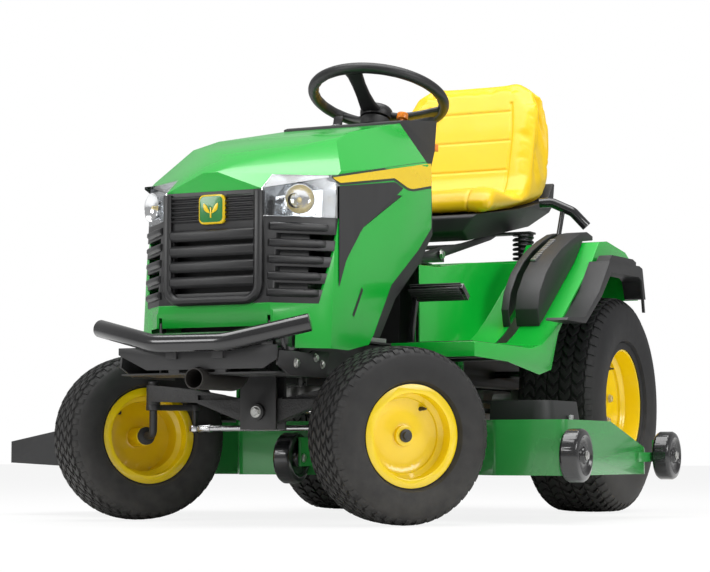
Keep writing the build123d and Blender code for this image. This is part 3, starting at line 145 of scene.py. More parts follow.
soft_box("overhead_box", (0.4, 0.2, 4.0), (0, 0, 0.6), 4.5, 3.0, 190)
soft_box("front_box", (4.6, -2.6, 2.4), (0.3, 0, 0.6), 2.0, 1.6, 70)
soft_box("left_box", (1.2, 5.0, 2.2), (0, 0, 0.5), 3.0, 1.2, 80)

lens_angle = 25.73
lens_rise = 4.55
camera = bpy.data.cameras.new("camera")
camera.lens = 108.5
camera.sensor_width = 36
camera.clip_end = 60
camera_object = linked(bpy.data.objects.new("camera", camera))
camera_object.location = at(5748, 2415, 157)
sight = Vector((-cos(radians(lens_angle)) * cos(radians(lens_rise)),
                -sin(radians(lens_angle)) * cos(radians(lens_rise)), sin(radians(lens_rise))))
camera_object.rotation_euler = sight.to_track_quat("-Z", "Y").to_euler()
bpy.context.scene.camera = camera_object
bpy.context.scene.view_settings.view_transform = "Standard"

# ---------------------------------------------------------------- green mouldings
# The hood and the fender deck are glossy plastic mouldings, coloured all through. They are a
# few millimetres thick, with soft edges and a faint orange-peel in the gloss.


def finish(name, colour, rough, metal=0.0, coat=0.0, mottle=0.08, mottle_size=0.12, grain=0.0,
           grain_size=0.0015, spread=0.06, specular=0.5, dust=0.0):
    """A finish with cloudy tone and roughness, a fine grain, and dust that lies on low parts."""
    mat = bpy.data.materials.new(name)
    mat.use_nodes = True
    tree = mat.node_tree
    shader = tree.nodes["Principled BSDF"]
    shader.inputs["Metallic"].default_value = metal
    shader.inputs["Coat Weight"].default_value = coat
    shader.inputs["Coat Roughness"].default_value = 0.06
    shader.inputs["Specular IOR Level"].default_value = specular
    where = tree.nodes.new("ShaderNodeTexCoord")
    cloud = tree.nodes.new("ShaderNodeTexNoise")
    cloud.inputs["Scale"].default_value = 1 / mottle_size
    cloud.inputs["Detail"].default_value = 5
    tree.links.new(where.outputs["Object"], cloud.inputs["Vector"])
    tone = tree.nodes.new("ShaderNodeMix")
    tone.data_type = "RGBA"
    tone.inputs["A"].default_value = (*[c * (1 - mottle) for c in colour], 1)
    tone.inputs["B"].default_value = (*[min(1, c * (1 + mottle)) for c in colour], 1)
    tree.links.new(cloud.outputs["Fac"], tone.inputs["Factor"])
    last = tone.outputs["Result"]
    if dust:
        height = tree.nodes.new("ShaderNodeSeparateXYZ")
        tree.links.new(where.outputs["Object"], height.inputs["Vector"])
        low = tree.nodes.new("ShaderNodeMapRange")
        low.inputs["From Min"].default_value = 0.45
        low.inputs["From Max"].default_value = 0.0
        low.inputs["To Max"].default_value = dust
        tree.links.new(height.outputs["Z"], low.inputs["Value"])
        patch = tree.nodes.new("ShaderNodeMath")
        patch.operation = "MULTIPLY"
        tree.links.new(low.outputs["Result"], patch.inputs[0])
        tree.links.new(cloud.outputs["Fac"], patch.inputs[1])
        dusty = tree.nodes.new("ShaderNodeMix")
        dusty.data_type = "RGBA"
        dusty.inputs["B"].default_value = (0.32, 0.3, 0.26, 1)
        tree.links.new(patch.outputs["Value"], dusty.inputs["Factor"])
        tree.links.new(last, dusty.inputs["A"])
        last = dusty.outputs["Result"]
    tree.links.new(last, shader.inputs["Base Color"])
    gloss = tree.nodes.new("ShaderNodeMapRange")
    gloss.inputs["To Min"].default_value = max(0.02, rough - spread)
    gloss.inputs["To Max"].default_value = min(1, rough + spread)
    tree.links.new(cloud.outputs["Fac"], gloss.inputs["Value"])
    tree.links.new(gloss.outputs["Result"], shader.inputs["Roughness"])
    if grain:
        pores = tree.nodes.new("ShaderNodeTexNoise")
        pores.inputs["Scale"].default_value = 1 / grain_size
        pores.inputs["Detail"].default_value = 3
        tree.links.new(where.outputs["Object"], pores.inputs["Vector"])
        bump = tree.nodes.new("ShaderNodeBump")
        bump.inputs["Strength"].default_value = grain
        bump.inputs["Distance"].default_value = grain_size / 2
        tree.links.new(pores.outputs["Fac"], bump.inputs["Height"])
        tree.links.new(bump.outputs["Normal"], shader.inputs["Normal"])
    return mat


def shade_tree():
    """Shades faces smooth, and keeps the edges crisp where they turn by more than an angle."""
    tree = bpy.data.node_groups.new("crisp_edges", "GeometryNodeTree")
    tree.interface.new_socket("Geometry", in_out="INPUT", socket_type="NodeSocketGeometry")
    turn = tree.interface.new_socket("Turn", in_out="INPUT", socket_type="NodeSocketFloat")
    turn.default_value = radians(34)
    tree.interface.new_socket("Geometry", in_out="OUTPUT", socket_type="NodeSocketGeometry")
    start = tree.nodes.new("NodeGroupInput")
    end = tree.nodes.new("NodeGroupOutput")
    angle = tree.nodes.new("GeometryNodeInputMeshEdgeAngle")
    gentle = tree.nodes.new("FunctionNodeCompare")
    gentle.operation = "LESS_THAN"
    faces = tree.nodes.new("GeometryNodeSetShadeSmooth")
    edges = tree.nodes.new("GeometryNodeSetShadeSmooth")
    edges.domain = "EDGE"
    tree.links.new(angle.outputs["Unsigned Angle"], gentle.inputs["A"])
    tree.links.new(start.outputs["Turn"], gentle.inputs["B"])
    tree.links.new(start.outputs["Geometry"], faces.inputs["Geometry"])
    tree.links.new(faces.outputs["Geometry"], edges.inputs["Geometry"])
    tree.links.new(gentle.outputs["Result"], edges.inputs["Shade Smooth"])
    tree.links.new(edges.outputs["Geometry"], end.inputs["Geometry"])
    return tree


crisp_edges = shade_tree()


def eased(obj, width=0.0, segments=2, turn=34):
    """Joins a piece's loose triangles, rounds its sharp edges by width, and shades it."""
    weld = obj.modifiers.new("weld", "WELD")
    weld.merge_threshold = 0.00002
    if width:
        flat = obj.modifiers.new("flat", "DECIMATE")
        flat.decimate_type = "DISSOLVE"
        flat.angle_limit = radians(0.6)
        bevel = obj.modifiers.new("edge", "BEVEL")
        bevel.width = width / 1000
        bevel.segments = segments
        bevel.limit_method = "ANGLE"
        bevel.angle_limit = radians(32)
    shade = obj.modifiers.new("shade", "NODES")
    shade.node_group = crisp_edges
    shade[crisp_edges.interface.items_tree["Turn"].identifier] = radians(turn)


def coloured(obj, mat):
    """Gives a piece one finish."""
    obj.data.materials.clear()
    obj.data.materials.append(mat)
    return obj


def dress(mat, width, *names, segments=2, turn=34):
    for name in names:
        coloured(nodes[name], mat)
        eased(nodes[name], width, segments, turn)


green = (0.003, 0.42, 0.034)
green_gloss = finish("green_gloss", green, 0.24, coat=0.3, mottle=0.04, mottle_size=0.5, grain=0.05,
                     grain_size=0.004, spread=0.03)
dress(green_gloss, 9, "hood_shell", segments=4, turn=72)
dress(green_gloss, 4, "fender_body", segments=3)

# ---------------------------------------------------------------- hood trim
# A yellow stripe with a dark border runs back along each side of the hood as a thin decal. The
# crown has a slit with a bright strip, and each flank has a slanted slot for the latch.


def faced_out(mesh):
    """Merges a mesh's doubled points and turns its faces outwards."""
    bm = bmesh.new()
    bm.from_mesh(mesh)
    bmesh.ops.remove_doubles(bm, verts=bm.verts, dist=0.00001)
    bmesh.ops.recalc_face_normals(bm, faces=bm.faces)
    bm.to_mesh(mesh)
    bm.free()


def part(name, points, faces, mat, body, slot, width=0.0, smooth=34, outward=True):
    """A new piece from its points and faces, which rides on a body of the tractor."""
    mesh = bpy.data.meshes.new(name)
    mesh.from_pydata([tuple(p) for p in points], [], faces)
    if outward:
        faced_out(mesh)
    mesh.materials.append(mat)
    obj = linked(bpy.data.objects.new(name, mesh))
    eased(obj, width, 2, smooth)
    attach(obj, body)
    return obj


def skin(rings, around):
    """The faces between rings of points, each ring closed on itself."""
    return [(i * around + k, i * around + (k + 1) % around,
             (i + 1) * around + (k + 1) % around, (i + 1) * around + k)
            for i in range(rings - 1) for k in range(around)]


def surface_of(node):
    bm = bmesh.new()
    bm.from_mesh(nodes[node].data)
    tree = BVHTree.FromBMesh(bm)
    bm.free()
    return tree


hood_skin = surface_of("hood_shell")
grille_skin = surface_of("grille")


def flank(x, z, side, lift):
    """The point on the hood's flank at x and z, standing off it by lift mm."""
    start = at(x, side * 400, z)
    best = None
    for skin in (hood_skin, grille_skin):
        hit, normal, index, away = skin.ray_cast(start, Vector((0, -side, 0)))
        if hit and (best is None or away < best[2]):
            best = (hit, normal, away)
    hit, normal, away = best if best else (at(x, side * 250, z), Vector((0, side, 0)), 0)
    if normal.y * side < 0:
        normal = -normal
    return hit + normal * lift / 1000


def decal(name, top, bottom, side, lift, mat, slot):
    """A thin sheet laid on the flank between two lines of points, front to back."""
    steps = 30
    rows = []
    for i in range(steps + 1):
        share = i / steps
        x = top[0][0] + (top[-1][0] - top[0][0]) * share
        high, low = [height_on(line, x) for line in (top, bottom)]
        rows.append([flank(x, low + (high - low) * j / 4, side, lift) for j in range(5)])
    points = [p for row in rows for p in row]
    faces = [(i * 5 + j, i * 5 + j + 1, i * 5 + j + 6, i * 5 + j + 5)
             for i in range(steps) for j in range(4)]
    if side < 0:
        faces = [tuple(reversed(f)) for f in faces]
    return part(name, points, faces, mat, "hood", slot, outward=False)


def height_on(line, x):
    """The height at x on a line of (x, z) points that runs from front to back."""
    for (x0, z0), (x1, z1) in zip(line, line[1:]):
        if x1 <= x <= x0:
            return z0 + (z1 - z0) * (x - x0) / (x1 - x0)
    return line[-1][1] if x < line[-1][0] else line[0][1]


stripe_yellow = finish("stripe_yellow", (0.88, 0.6, 0.0), 0.28, coat=0.3, mottle=0.03, mottle_size=0.3)
stripe_border = finish("stripe_border", (0.012, 0.03, 0.014), 0.3, coat=0.2, mottle=0.1)
stripe_top = [(1371, 796), (1060, 853), (812, 897)]
stripe_low = [(1371, 794), (1337, 787), (1033, 834), (950, 818), (920, 820), (812, 840)]
border_top = [(1378, 800), (1060, 858), (811, 903)]
border_low = [(1378, 794), (1337, 781), (1036, 828), (952, 812), (920, 814), (811, 834)]
for side, hand in ((1, "left"), (-1, "right")):
    decal(f"{hand}_stripe_border", border_top, border_low, side, 0.5, stripe_border, "black_plastic")
    decal(f"{hand}_stripe", stripe_top, stripe_low, side, 0.9, stripe_yellow, "yellow_paint")
panel_black = finish("panel_black", (0.012, 0.012, 0.013), 0.3, coat=0.2, mottle=0.1)
panel_top = [(1344, 779), (1036, 824), (987, 815)]
panel_low = [(1344, 545), (1306, 611), (1221, 691), (987, 813)]
for side, hand in ((1, "left"), (-1, "right")):
    decal(f"{hand}_side_panel", panel_top, panel_low, side, 2.6, panel_black, "black_plastic")


def prism(outline, y0, y1, taper=0.0):
    """The points and faces of a solid from a side outline, with its outer edges set in by taper."""
    n = len(outline)
    mid_x = sum(x for x, z in outline) / n
    mid_z = sum(z for x, z in outline) / n
    points = []
    for y, shrink in ((y0, 0), (y1, taper)):
        for x, z in outline:
            points.append(at(x + (mid_x - x) * shrink, y, z + (mid_z - z) * shrink))
    faces = [tuple(range(n)), tuple(range(2 * n - 1, n - 1, -1))]
    faces += [(i, i + n, (i + 1) % n + n, (i + 1) % n) for i in range(n)]
    return points, faces


def slab(x0, x1, y0, y1, z0, z1):
    return prism([(x0, z0), (x1, z0), (x1, z1), (x0, z1)], y0, y1)


black_moulding = finish("black_moulding", (0.016, 0.016, 0.017), 0.38, mottle=0.2, mottle_size=0.05,
                        grain=0.25, grain_size=0.0012, spread=0.08)
bright_steel = finish("bright_steel", (0.62, 0.62, 0.63), 0.26, metal=1, mottle=0.08,
                      mottle_size=0.02, grain=0.1, grain_size=0.0006)
part("crown_slit", *slab(1128, 1140, -104, 104, 926, 931), black_moulding, "hood", "black_plastic", 1)
part("crown_strip", *slab(1129, 1134, -98, 98, 930, 936.5), bright_steel, "hood", "chrome_trim", 0.8)
for side, hand in ((1, "left"), (-1, "right")):
    slot_points = []
    for share in (0, 0.5, 1):
        x, z = 1266 + (1216 - 1266) * share, 483 + (550 - 483) * share
        slot_points += [flank(x + 4, z + 3, side, 0.6), flank(x - 4, z - 3, side, 0.6)]
    slot_faces = [(0, 1, 3, 2), (2, 3, 5, 4)]
    if side < 0:
        slot_faces = [tuple(reversed(f)) for f in slot_faces]
    part(f"{hand}_latch_slot", slot_points, slot_faces, black_moulding, "hood", "black_plastic",
         outward=False)

# ---------------------------------------------------------------- grille
# A black moulding closes the hood's nose. A U-shaped frame stands proud in the middle, with
# fine slats beside the badge and wide louvres below it, and more louvres wrap round each corner.

dress(black_moulding, 2, "grille")


def tree_end(tree, geometry, mat):
    """Ends a tree in real meshes with one finish."""
    real = tree.nodes.new("GeometryNodeRealizeInstances")
    paint = tree.nodes.new("GeometryNodeSetMaterial")
    paint.inputs["Material"].default_value = mat
    end = tree.nodes.new("NodeGroupOutput")
    tree.interface.new_socket("Geometry", in_out="OUTPUT", socket_type="NodeSocketGeometry")
    tree.links.new(geometry, real.inputs["Geometry"])
    tree.links.new(real.outputs["Geometry"], paint.inputs["Geometry"])
    tree.links.new(paint.outputs["Geometry"], end.inputs["Geometry"])


def grown(tree, values):
    """The mesh that a tree makes from its named inputs."""
    holder = linked(bpy.data.objects.new("holder", bpy.data.meshes.new("holder")))
    grow = holder.modifiers.new("grow", "NODES")
    grow.node_group = tree
    for item in tree.interface.items_tree:
        if item.in_out == "INPUT" and item.name in values:
            grow[item.identifier] = values[item.name]
    seen = holder.evaluated_get(bpy.context.evaluated_depsgraph_get())
    mesh = bpy.data.meshes.new_from_object(seen)
    bpy.data.objects.remove(holder)
    return mesh


def row_tree(mat):
    """Copies of a part in a straight row, with its Count and the Step from one to the next."""
    tree = bpy.data.node_groups.new("row", "GeometryNodeTree")
    for label, kind in (("Part", "NodeSocketObject"), ("Count", "NodeSocketInt"),
                        ("Step", "NodeSocketVector")):
        tree.interface.new_socket(label, in_out="INPUT", socket_type=kind)
    start = tree.nodes.new("NodeGroupInput")
    line = tree.nodes.new("GeometryNodeMeshLine")
    source = tree.nodes.new("GeometryNodeObjectInfo")
    copies = tree.nodes.new("GeometryNodeInstanceOnPoints")
    tree.links.new(start.outputs["Count"], line.inputs["Count"])
    tree.links.new(start.outputs["Step"], line.inputs["Offset"])
    tree.links.new(start.outputs["Part"], source.inputs["Object"])
    tree.links.new(line.outputs["Mesh"], copies.inputs["Points"])
    tree.links.new(source.outputs["Geometry"], copies.inputs["Instance"])
    tree_end(tree, copies.outputs["Instances"], mat)
    return tree


def pattern(points, faces):
    """A loose object that a tree copies; it isn't part of the tractor itself."""
    mesh = bpy.data.meshes.new("pattern")
    mesh.from_pydata([tuple(p) for p in points], [], faces)
    faced_out(mesh)
    return linked(bpy.data.objects.new("pattern", mesh))


def finished(name, mesh, body, width=0.0, turn=34):
    """A piece from a mesh that a tree has made."""
    obj = linked(bpy.data.objects.new(name, mesh))
    eased(obj, width, 2, turn)
    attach(obj, body)
    return obj


def row(name, points, faces, count, step, mat, body, slot, width=0.0):
    """A row of like bars; step is in mm along each axis."""
    one = pattern(points, faces)
    mesh = grown(row_tree(mat), {"Part": one, "Count": count, "Step": Vector(step) / 1000})
    bpy.data.objects.remove(one)
    return finished(name, mesh, body, width)


def bent_bar(line, width, back, front, bevel):
    """A flat bar along a line of (y, z) points, standing from x back to x front."""
    points = []
    for i, (y, z) in enumerate(line):
        before = Vector(line[max(i - 1, 0)])
        after = Vector(line[min(i + 1, len(line) - 1)])
        run = (after - before).normalized()
        across = Vector((-run.y, run.x)) * width / 2
        for shift, x in ((-1, back), (-1, front - bevel), (-1 + bevel / width * 2, front),
                         (1 - bevel / width * 2, front), (1, front - bevel), (1, back)):
            points.append(at(x, y + across.x * shift, z + across.y * shift))
    last = (len(line) - 1) * 6
    faces = skin(len(line), 6) + [tuple(range(6)), tuple(range(last + 5, last - 1, -1))]
    return points, faces


frame_y = 119
frame_low = 512
frame_corner = 34
u_line = [(-frame_y, 760), (-frame_y, 640), (-frame_y, frame_low + frame_corner)]
u_line += [(-frame_y + frame_corner * (1 - cos(a)), frame_low + frame_corner * (1 - sin(a)))
           for a in [pi / 2 * k / 6 for k in range(1, 7)]]
u_line += [(-y, z) for y, z in reversed(u_line)]
part("grille_frame", *bent_bar(u_line, 21, 1478, 1499, 6), black_moulding, "hood", "black_plastic", 1)
louvre = [(1478, 546), (1490, 542), (1496, 550), (1496, 563), (1490, 569), (1478, 566)]
row("grille_louvres", *prism(louvre, -110, 110), 4, (0, 0, 36), black_moulding, "hood",
    "black_plastic", 1.2)
slat = [(1482, 0), (1491, -1), (1494, 2), (1488, 6), (1482, 6)]
slat = [(x, z + 696) for x, z in slat]
for side, hand in ((1, "left"), (-1, "right")):
    row(f"{hand}_grille_slats", *prism(slat, side * 34, side * 110), 6, (0, 0, 10.6), black_moulding,
        "hood", "black_plastic", 0.5)


def corner_point(y, z, proud, side):
    """A point on the slanted corner of the nose at y and z, standing proud by some mm."""
    a, b, c = Vector((1486, 125, 757)), Vector((1353, 249, 792)), Vector((1402, 223, 509))
    normal = (b - a).cross(c - a).normalized()
    if normal.x < 0:
        normal = -normal
    x = a.x - (normal.y * (y - a.y) + normal.z * (z - a.z)) / normal.x
    spot = Vector((x, y, z)) + normal * proud
    return at(spot.x, side * spot.y, spot.z)


box_faces = [(0, 1, 3, 2), (4, 6, 7, 5), (0, 4, 5, 1), (2, 3, 7, 6), (0, 2, 6, 4), (1, 5, 7, 3)]
backing = [at(x, y, z) for x in (1444, 1447) for y in (-132, 132) for z in (515, 742)]
part("grille_backing", backing, box_faces, black_moulding, "hood", "black_plastic")
for side, hand in ((1, "left"), (-1, "right")):
    backing = [corner_point(y, z, away, side) for away in (-22, -19) for y in (136, 212)
                    for z in (515, 700)]
    part(f"{hand}_corner_backing", backing, box_faces, black_moulding, "hood", "black_plastic")
    for step in range(5):
        z = 527 + step * 38
        outer = 222 + step * 3
        section = [(-9, -4), (-9, 4), (-3, 10), (5, 10), (10, 4), (10, -4)]
        points = []
        for y, shrink in ((140, 0.7), (150, 1), (outer - 6, 1), (outer + 4, 0.5)):
            for up, proud in section:
                points.append(corner_point(y, z + up * (0.6 + 0.4 * shrink), proud * shrink, side))
        faces = skin(4, 6) + [tuple(range(6)), tuple(range(23, 17, -1))]
        part(f"{hand}_corner_louvre_{step + 1}", points, faces, black_moulding, "hood",
             "black_plastic", 1)

# ---------------------------------------------------------------- badge
# A rounded square plate in green with a yellow rim, and a plain two-leaf sprig in relief. It is
# a moulded piece that clips to the grille.


def round_square(half, corner, steps=6):
    """The (y, z) points of a square with rounded corners."""
    points = []
    for k in range(4):
        cy = (half - corner) * (1 if k in (0, 3) else -1)
        cz = (half - corner) * (1 if k in (0, 1) else -1)
        for s in range(steps + 1):
            a = pi / 2 * (k + s / steps)
            points.append((cy + corner * cos(a), cz + corner * sin(a)))
    return points


badge_z = 722


def plate(name, outline, back, front, lip, mat, slot, body="hood", centre=(0, badge_z)):
    """A flat plate in the y-z plane with a chamfer of lip mm round its front."""
    n = len(outline)
    points = [at(back, centre[0] + y, centre[1] + z) for y, z in outline]
    points += [at(front - lip, centre[0] + y, centre[1] + z) for y, z in outline]
    size = max(abs(y) for y, z in outline)
    points += [at(front, centre[0] + y * (1 - lip / size), centre[1] + z * (1 - lip / size))
               for y, z in outline]
    faces = [(i + k * n, (i + 1) % n + k * n, (i + 1) % n + (k + 1) * n, i + (k + 1) * n)
             for k in range(2) for i in range(n)]
    faces += [tuple(range(n - 1, -1, -1)), tuple(range(2 * n, 3 * n))]
    return part(name, points, faces, mat, body, slot, 0.3)


badge_green = finish("badge_green", (0.02, 0.2, 0.04), 0.22, coat=0.5, mottle=0.05, mottle_size=0.03)
plate("badge_rim", round_square(34, 13), 1484, 1497, 3, stripe_yellow, "yellow_paint")
plate("badge_field", round_square(30, 11), 1490, 1498.4, 1, badge_green, "green_plastic")
for side, hand in ((1, "left"), (-1, "right")):
    leaf = []
    for k in range(9):
        t = k / 8
        leaf.append((side * (2 + 17 * t), -10 + 24 * t + 5 * sin(pi * t)))
    for k in range(1, 8):
        t = 1 - k / 8
        leaf.append((side * (2 + 17 * t + 6 * sin(pi * t)), -10 + 24 * t - 4 * sin(pi * t)))
    plate(f"badge_{hand}_leaf", leaf, 1497, 1500.2, 0.4, stripe_yellow, "yellow_paint")
stem = [(-1.6, -20), (1.6, -20), (1.3, 4), (-1.3, 4)]
plate("badge_stem", stem, 1497, 1500, 0.2, stripe_yellow, "yellow_paint")

# ---------------------------------------------------------------- headlights
# Each lamp is a clear moulded lens over a bright reflector, with a bulb in a bowl. The housing
# fills the corner of the nose beside the grille frame.

lamp_chrome = finish("lamp_chrome", (0.78, 0.79, 0.8), 0.12, metal=1, mottle=0.1, mottle_size=0.03,
                     grain=0.15, grain_size=0.006)
lamp_lens = bpy.data.materials.new("lamp_lens")
lamp_lens.use_nodes = True
lens_shader = lamp_lens.node_tree.nodes["Principled BSDF"]
lens_shader.inputs["Base Color"].default_value = (0.96, 0.98, 1, 1)
lens_shader.inputs["Transmission Weight"].default_value = 1
lens_shader.inputs["IOR"].default_value = 1.45
lens_where = lamp_lens.node_tree.nodes.new("ShaderNodeTexCoord")
lens_cloud = lamp_lens.node_tree.nodes.new("ShaderNodeTexNoise")
lens_cloud.inputs["Scale"].default_value = 30
lens_haze = lamp_lens.node_tree.nodes.new("ShaderNodeMapRange")
lens_haze.inputs["To Min"].default_value = 0.02
lens_haze.inputs["To Max"].default_value = 0.1
lamp_lens.node_tree.links.new(lens_where.outputs["Object"], lens_cloud.inputs["Vector"])
lamp_lens.node_tree.links.new(lens_cloud.outputs["Fac"], lens_haze.inputs["Value"])
lamp_lens.node_tree.links.new(lens_haze.outputs["Result"], lens_shader.inputs["Roughness"])


def lamp_shell(name, front, mat, wall, hand):
    """The front faces of a lamp's solid, or all its other faces, as a thin wall."""
    bm = bmesh.new()
    bm.from_mesh(nodes["headlights"].data)
    bmesh.ops.remove_doubles(bm, verts=bm.verts, dist=0.00001)
    mid_y = rear_axle.y
    gone = []
    for face in bm.faces:
        spot = face.calc_center_median()
        ahead = face.normal.x > 0.3 or (face.normal.x > 0.1 and face.normal.z > 0.3)
        if ahead != front or (spot.y - mid_y) * (1 if hand == "left" else -1) < 0:
            gone.append(face)
    bmesh.ops.delete(bm, geom=gone, context="FACES")
    mesh = bpy.data.meshes.new(name)
    bm.to_mesh(mesh)
    bm.free()
    mesh.materials.append(mat)
    obj = linked(bpy.data.objects.new(name, mesh))
    skin = obj.modifiers.new("wall", "SOLIDIFY")
    skin.thickness = wall / 1000
    skin.offset = -1
    eased(obj, 0, turn=20)
    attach(obj, "hood")
    return obj


def spun(name, line, axis_start, axis_dir, mat, body, slot, steps=40, width=0.0, smooth=34):
    """A turned piece: a line of (along, radius) points in mm spun about an axis."""
    turn = Vector((0, 0, 1)).rotation_difference(Vector(axis_dir).normalized()).to_matrix()
    points = []
    for along, radius in line:
        for k in range(steps):
            a = 2 * pi * k / steps
            spot = Vector((radius * cos(a), radius * sin(a), along)) / 1000
            points.append(axis_start + turn @ spot)
    faces = [(i * steps + k, i * steps + (k + 1) % steps, (i + 1) * steps + (k + 1) % steps,
              (i + 1) * steps + k) for i in range(len(line) - 1) for k in range(steps)]
    if line[0][1] > 0:
        faces.append(tuple(range(steps - 1, -1, -1)))
    if line[-1][1] > 0:
        faces.append(tuple((len(line) - 1) * steps + k for k in range(steps)))
    return part(name, points, faces, mat, body, slot, width, smooth)


bulb_glass = finish("bulb_glass", (0.75, 0.62, 0.3), 0.15, coat=0.8, mottle=0.2, mottle_size=0.01)
for side, hand in ((1, "left"), (-1, "right")):
    lamp_shell(f"{hand}_lamp_lens", True, lamp_lens, 2.4, hand)
    lamp_shell(f"{hand}_lamp_housing", False, lamp_chrome, 1.6, hand)
    ahead = Vector((0.85, side * 0.5, 0))
    bowl = [(0, 7), (2, 18), (8, 27), (17, 33), (17.6, 34.5), (7, 29), (0, 20), (-2, 7)]
    spun(f"{hand}_lamp_bowl", bowl, at(1420, side * 188, 742), ahead, lamp_chrome, "hood", "chrome_trim")
    bulb = [(-4, 6), (3, 6), (3, 4.6), (10, 5), (15, 4), (18, 0.01)]
    spun(f"{hand}_lamp_bulb", bulb, at(1420, side * 188, 742), ahead, bulb_glass, "hood", "chrome_trim",
         20)
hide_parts("headlights")

# ---------------------------------------------------------------- bumper and nose
# The bumper is one bent steel tube in gloss black powder coat, welded to a plate across the
# frame's front. The scoop under the hood is a gloss moulding, and hex bolts hold the plates.

gloss_black = finish("gloss_black", (0.011, 0.011, 0.012), 0.2, coat=0.5, mottle=0.15, mottle_size=0.08,
                     grain=0.06, grain_size=0.003, spread=0.06)
satin_black = finish("satin_black", (0.02, 0.02, 0.021), 0.42, mottle=0.25, mottle_size=0.05, grain=0.2,
                     grain_size=0.0018, dust=0.12)
dress(gloss_black, 1.5, "bumper_tube", "front_scoop")
dress(satin_black, 1.2, "front_frame_bracket", "axle_pivot_bracket", "frame_cross_members", "frame_rails")


def hex_bolt(radius, height):
    """The points and faces of a flanged hex head that stands on the z = 0 plane, in mm."""
    rings = [(radius * 1.25, 0, 24), (radius * 1.25, height * 0.18, 24)]
    points = []
    for ring_radius, z, count in rings:
        points += [Vector((ring_radius * cos(2 * pi * k / 24), ring_radius * sin(2 * pi * k / 24), z))
                   for k in range(24)]
    for scale, z in ((1, height * 0.18), (1, height * 0.86), (0.84, height)):
        for k in range(24):
            a = 2 * pi * k / 24
            flat = cos(pi / 6) / cos((a % (pi / 3)) - pi / 6)
            points.append(Vector((radius * scale * flat * cos(a), radius * scale * flat * sin(a), z)))
    faces = [(i * 24 + k, i * 24 + (k + 1) % 24, (i + 1) * 24 + (k + 1) % 24, (i + 1) * 24 + k)
             for i in range(4) for k in range(24)]
    faces += [tuple(range(23, -1, -1)), tuple(range(96, 120))]
    return [p / 1000 for p in points], faces


def place_tree(mat):
    """Copies of a part on the points of a guide, each turned so that its z follows a Way."""
    tree = bpy.data.node_groups.new("placed", "GeometryNodeTree")
    for label, kind in (("Part", "NodeSocketObject"), ("Guide", "NodeSocketObject"),
                        ("Way", "NodeSocketVector")):
        tree.interface.new_socket(label, in_out="INPUT", socket_type=kind)
    start = tree.nodes.new("NodeGroupInput")
    source = tree.nodes.new("GeometryNodeObjectInfo")
    guide = tree.nodes.new("GeometryNodeObjectInfo")
    turn = tree.nodes.new("FunctionNodeAlignRotationToVector")
    turn.axis = "Z"
    copies = tree.nodes.new("GeometryNodeInstanceOnPoints")
    tree.links.new(start.outputs["Part"], source.inputs["Object"])
    tree.links.new(start.outputs["Guide"], guide.inputs["Object"])
    tree.links.new(start.outputs["Way"], turn.inputs["Vector"])
    tree.links.new(guide.outputs["Geometry"], copies.inputs["Points"])
    tree.links.new(source.outputs["Geometry"], copies.inputs["Instance"])
    tree.links.new(turn.outputs["Rotation"], copies.inputs["Rotation"])
    tree_end(tree, copies.outputs["Instances"], mat)
    return tree


def bolts(name, spots, way, radius, height, mat, body):
    """Hex heads at some points, facing one way."""
    head = pattern(*hex_bolt(radius, height))
    guide = pattern(spots, [])
    mesh = grown(place_tree(mat), {"Part": head, "Guide": guide, "Way": Vector(way)})
    bpy.data.objects.remove(head)
    bpy.data.objects.remove(guide)
    return finished(name, mesh, body, 0.0, 25)


zinc = finish("zinc", (0.6, 0.6, 0.58), 0.3, metal=1, mottle=0.15, mottle_size=0.02, grain=0.12,
              grain_size=0.0008, spread=0.1)
for side, hand in ((1, "left"), (-1, "right")):
    bolts(f"{hand}_bracket_bolts", [at(1340, side * 206, 368), (at(1372, side * 206, 382))],
          (0, side, 0), 8, 6, zinc, "chassis")
    bolts(f"{hand}_gusset_bolt", [at(1470, side * 206, 366)], (0, side, 0), 9, 7, zinc, "chassis")
bolts("axle_pivot_nut", [at(1278, 0, 262)], (1, 0, 0), 11, 9, zinc, "chassis")

# ---------------------------------------------------------------- tyres
# Turf tyres: a smooth carcass with a moulded bead line, and five rows of low zigzag blocks that
# reach over the shoulder. The rubber is matt, with a little dust low down.

tyre_rubber = finish("tyre_rubber", (0.014, 0.014, 0.015), 0.62, mottle=0.3, mottle_size=0.03, grain=0.3,
                     grain_size=0.0015, spread=0.12, specular=0.35, dust=0.18)


def tyre_line(radius, width, seat, flange, rim_width, block):
    """The section of a tyre from bead to bead outside, as (along, radius) points, then inside."""
    half = width / 2
    crown = radius - block
    bead = rim_width / 2 - 3.5
    shape = [(bead, seat + 1), (bead, flange + 1.5), (half * 0.84, flange + 4), (half * 0.93, flange + 8),
             (half * 0.985, radius * 0.7), (half, radius * 0.77), (half * 0.985, radius * 0.83),
             (half * 0.95, radius * 0.88), (half * 0.88, radius * 0.925), (half * 0.76, crown * 0.985),
             (half * 0.5, crown * 0.995), (half * 0.25, crown * 0.999), (0, crown)]
    outside = shape + [(-a, r) for a, r in reversed(shape[:-1])]
    inside = [(-bead + 8, seat + 1), (-bead + 8, flange), (-half * 0.86, radius * 0.78),
              (-half * 0.5, crown * 0.93), (half * 0.5, crown * 0.93), (half * 0.86, radius * 0.78),
              (bead - 8, flange), (bead - 8, seat + 1)]
    return outside, inside


def crown_radius(outside, along):
    """The carcass radius at a distance from the middle of the tread."""
    upper = sorted((a, r) for a, r in outside if r > outside[5][1])
    for (a0, r0), (a1, r1) in zip(upper, upper[1:]):
        if a0 <= along <= a1:
            return r0 + (r1 - r0) * (along - a0) / max(a1 - a0, 0.001)
    return upper[0][1]


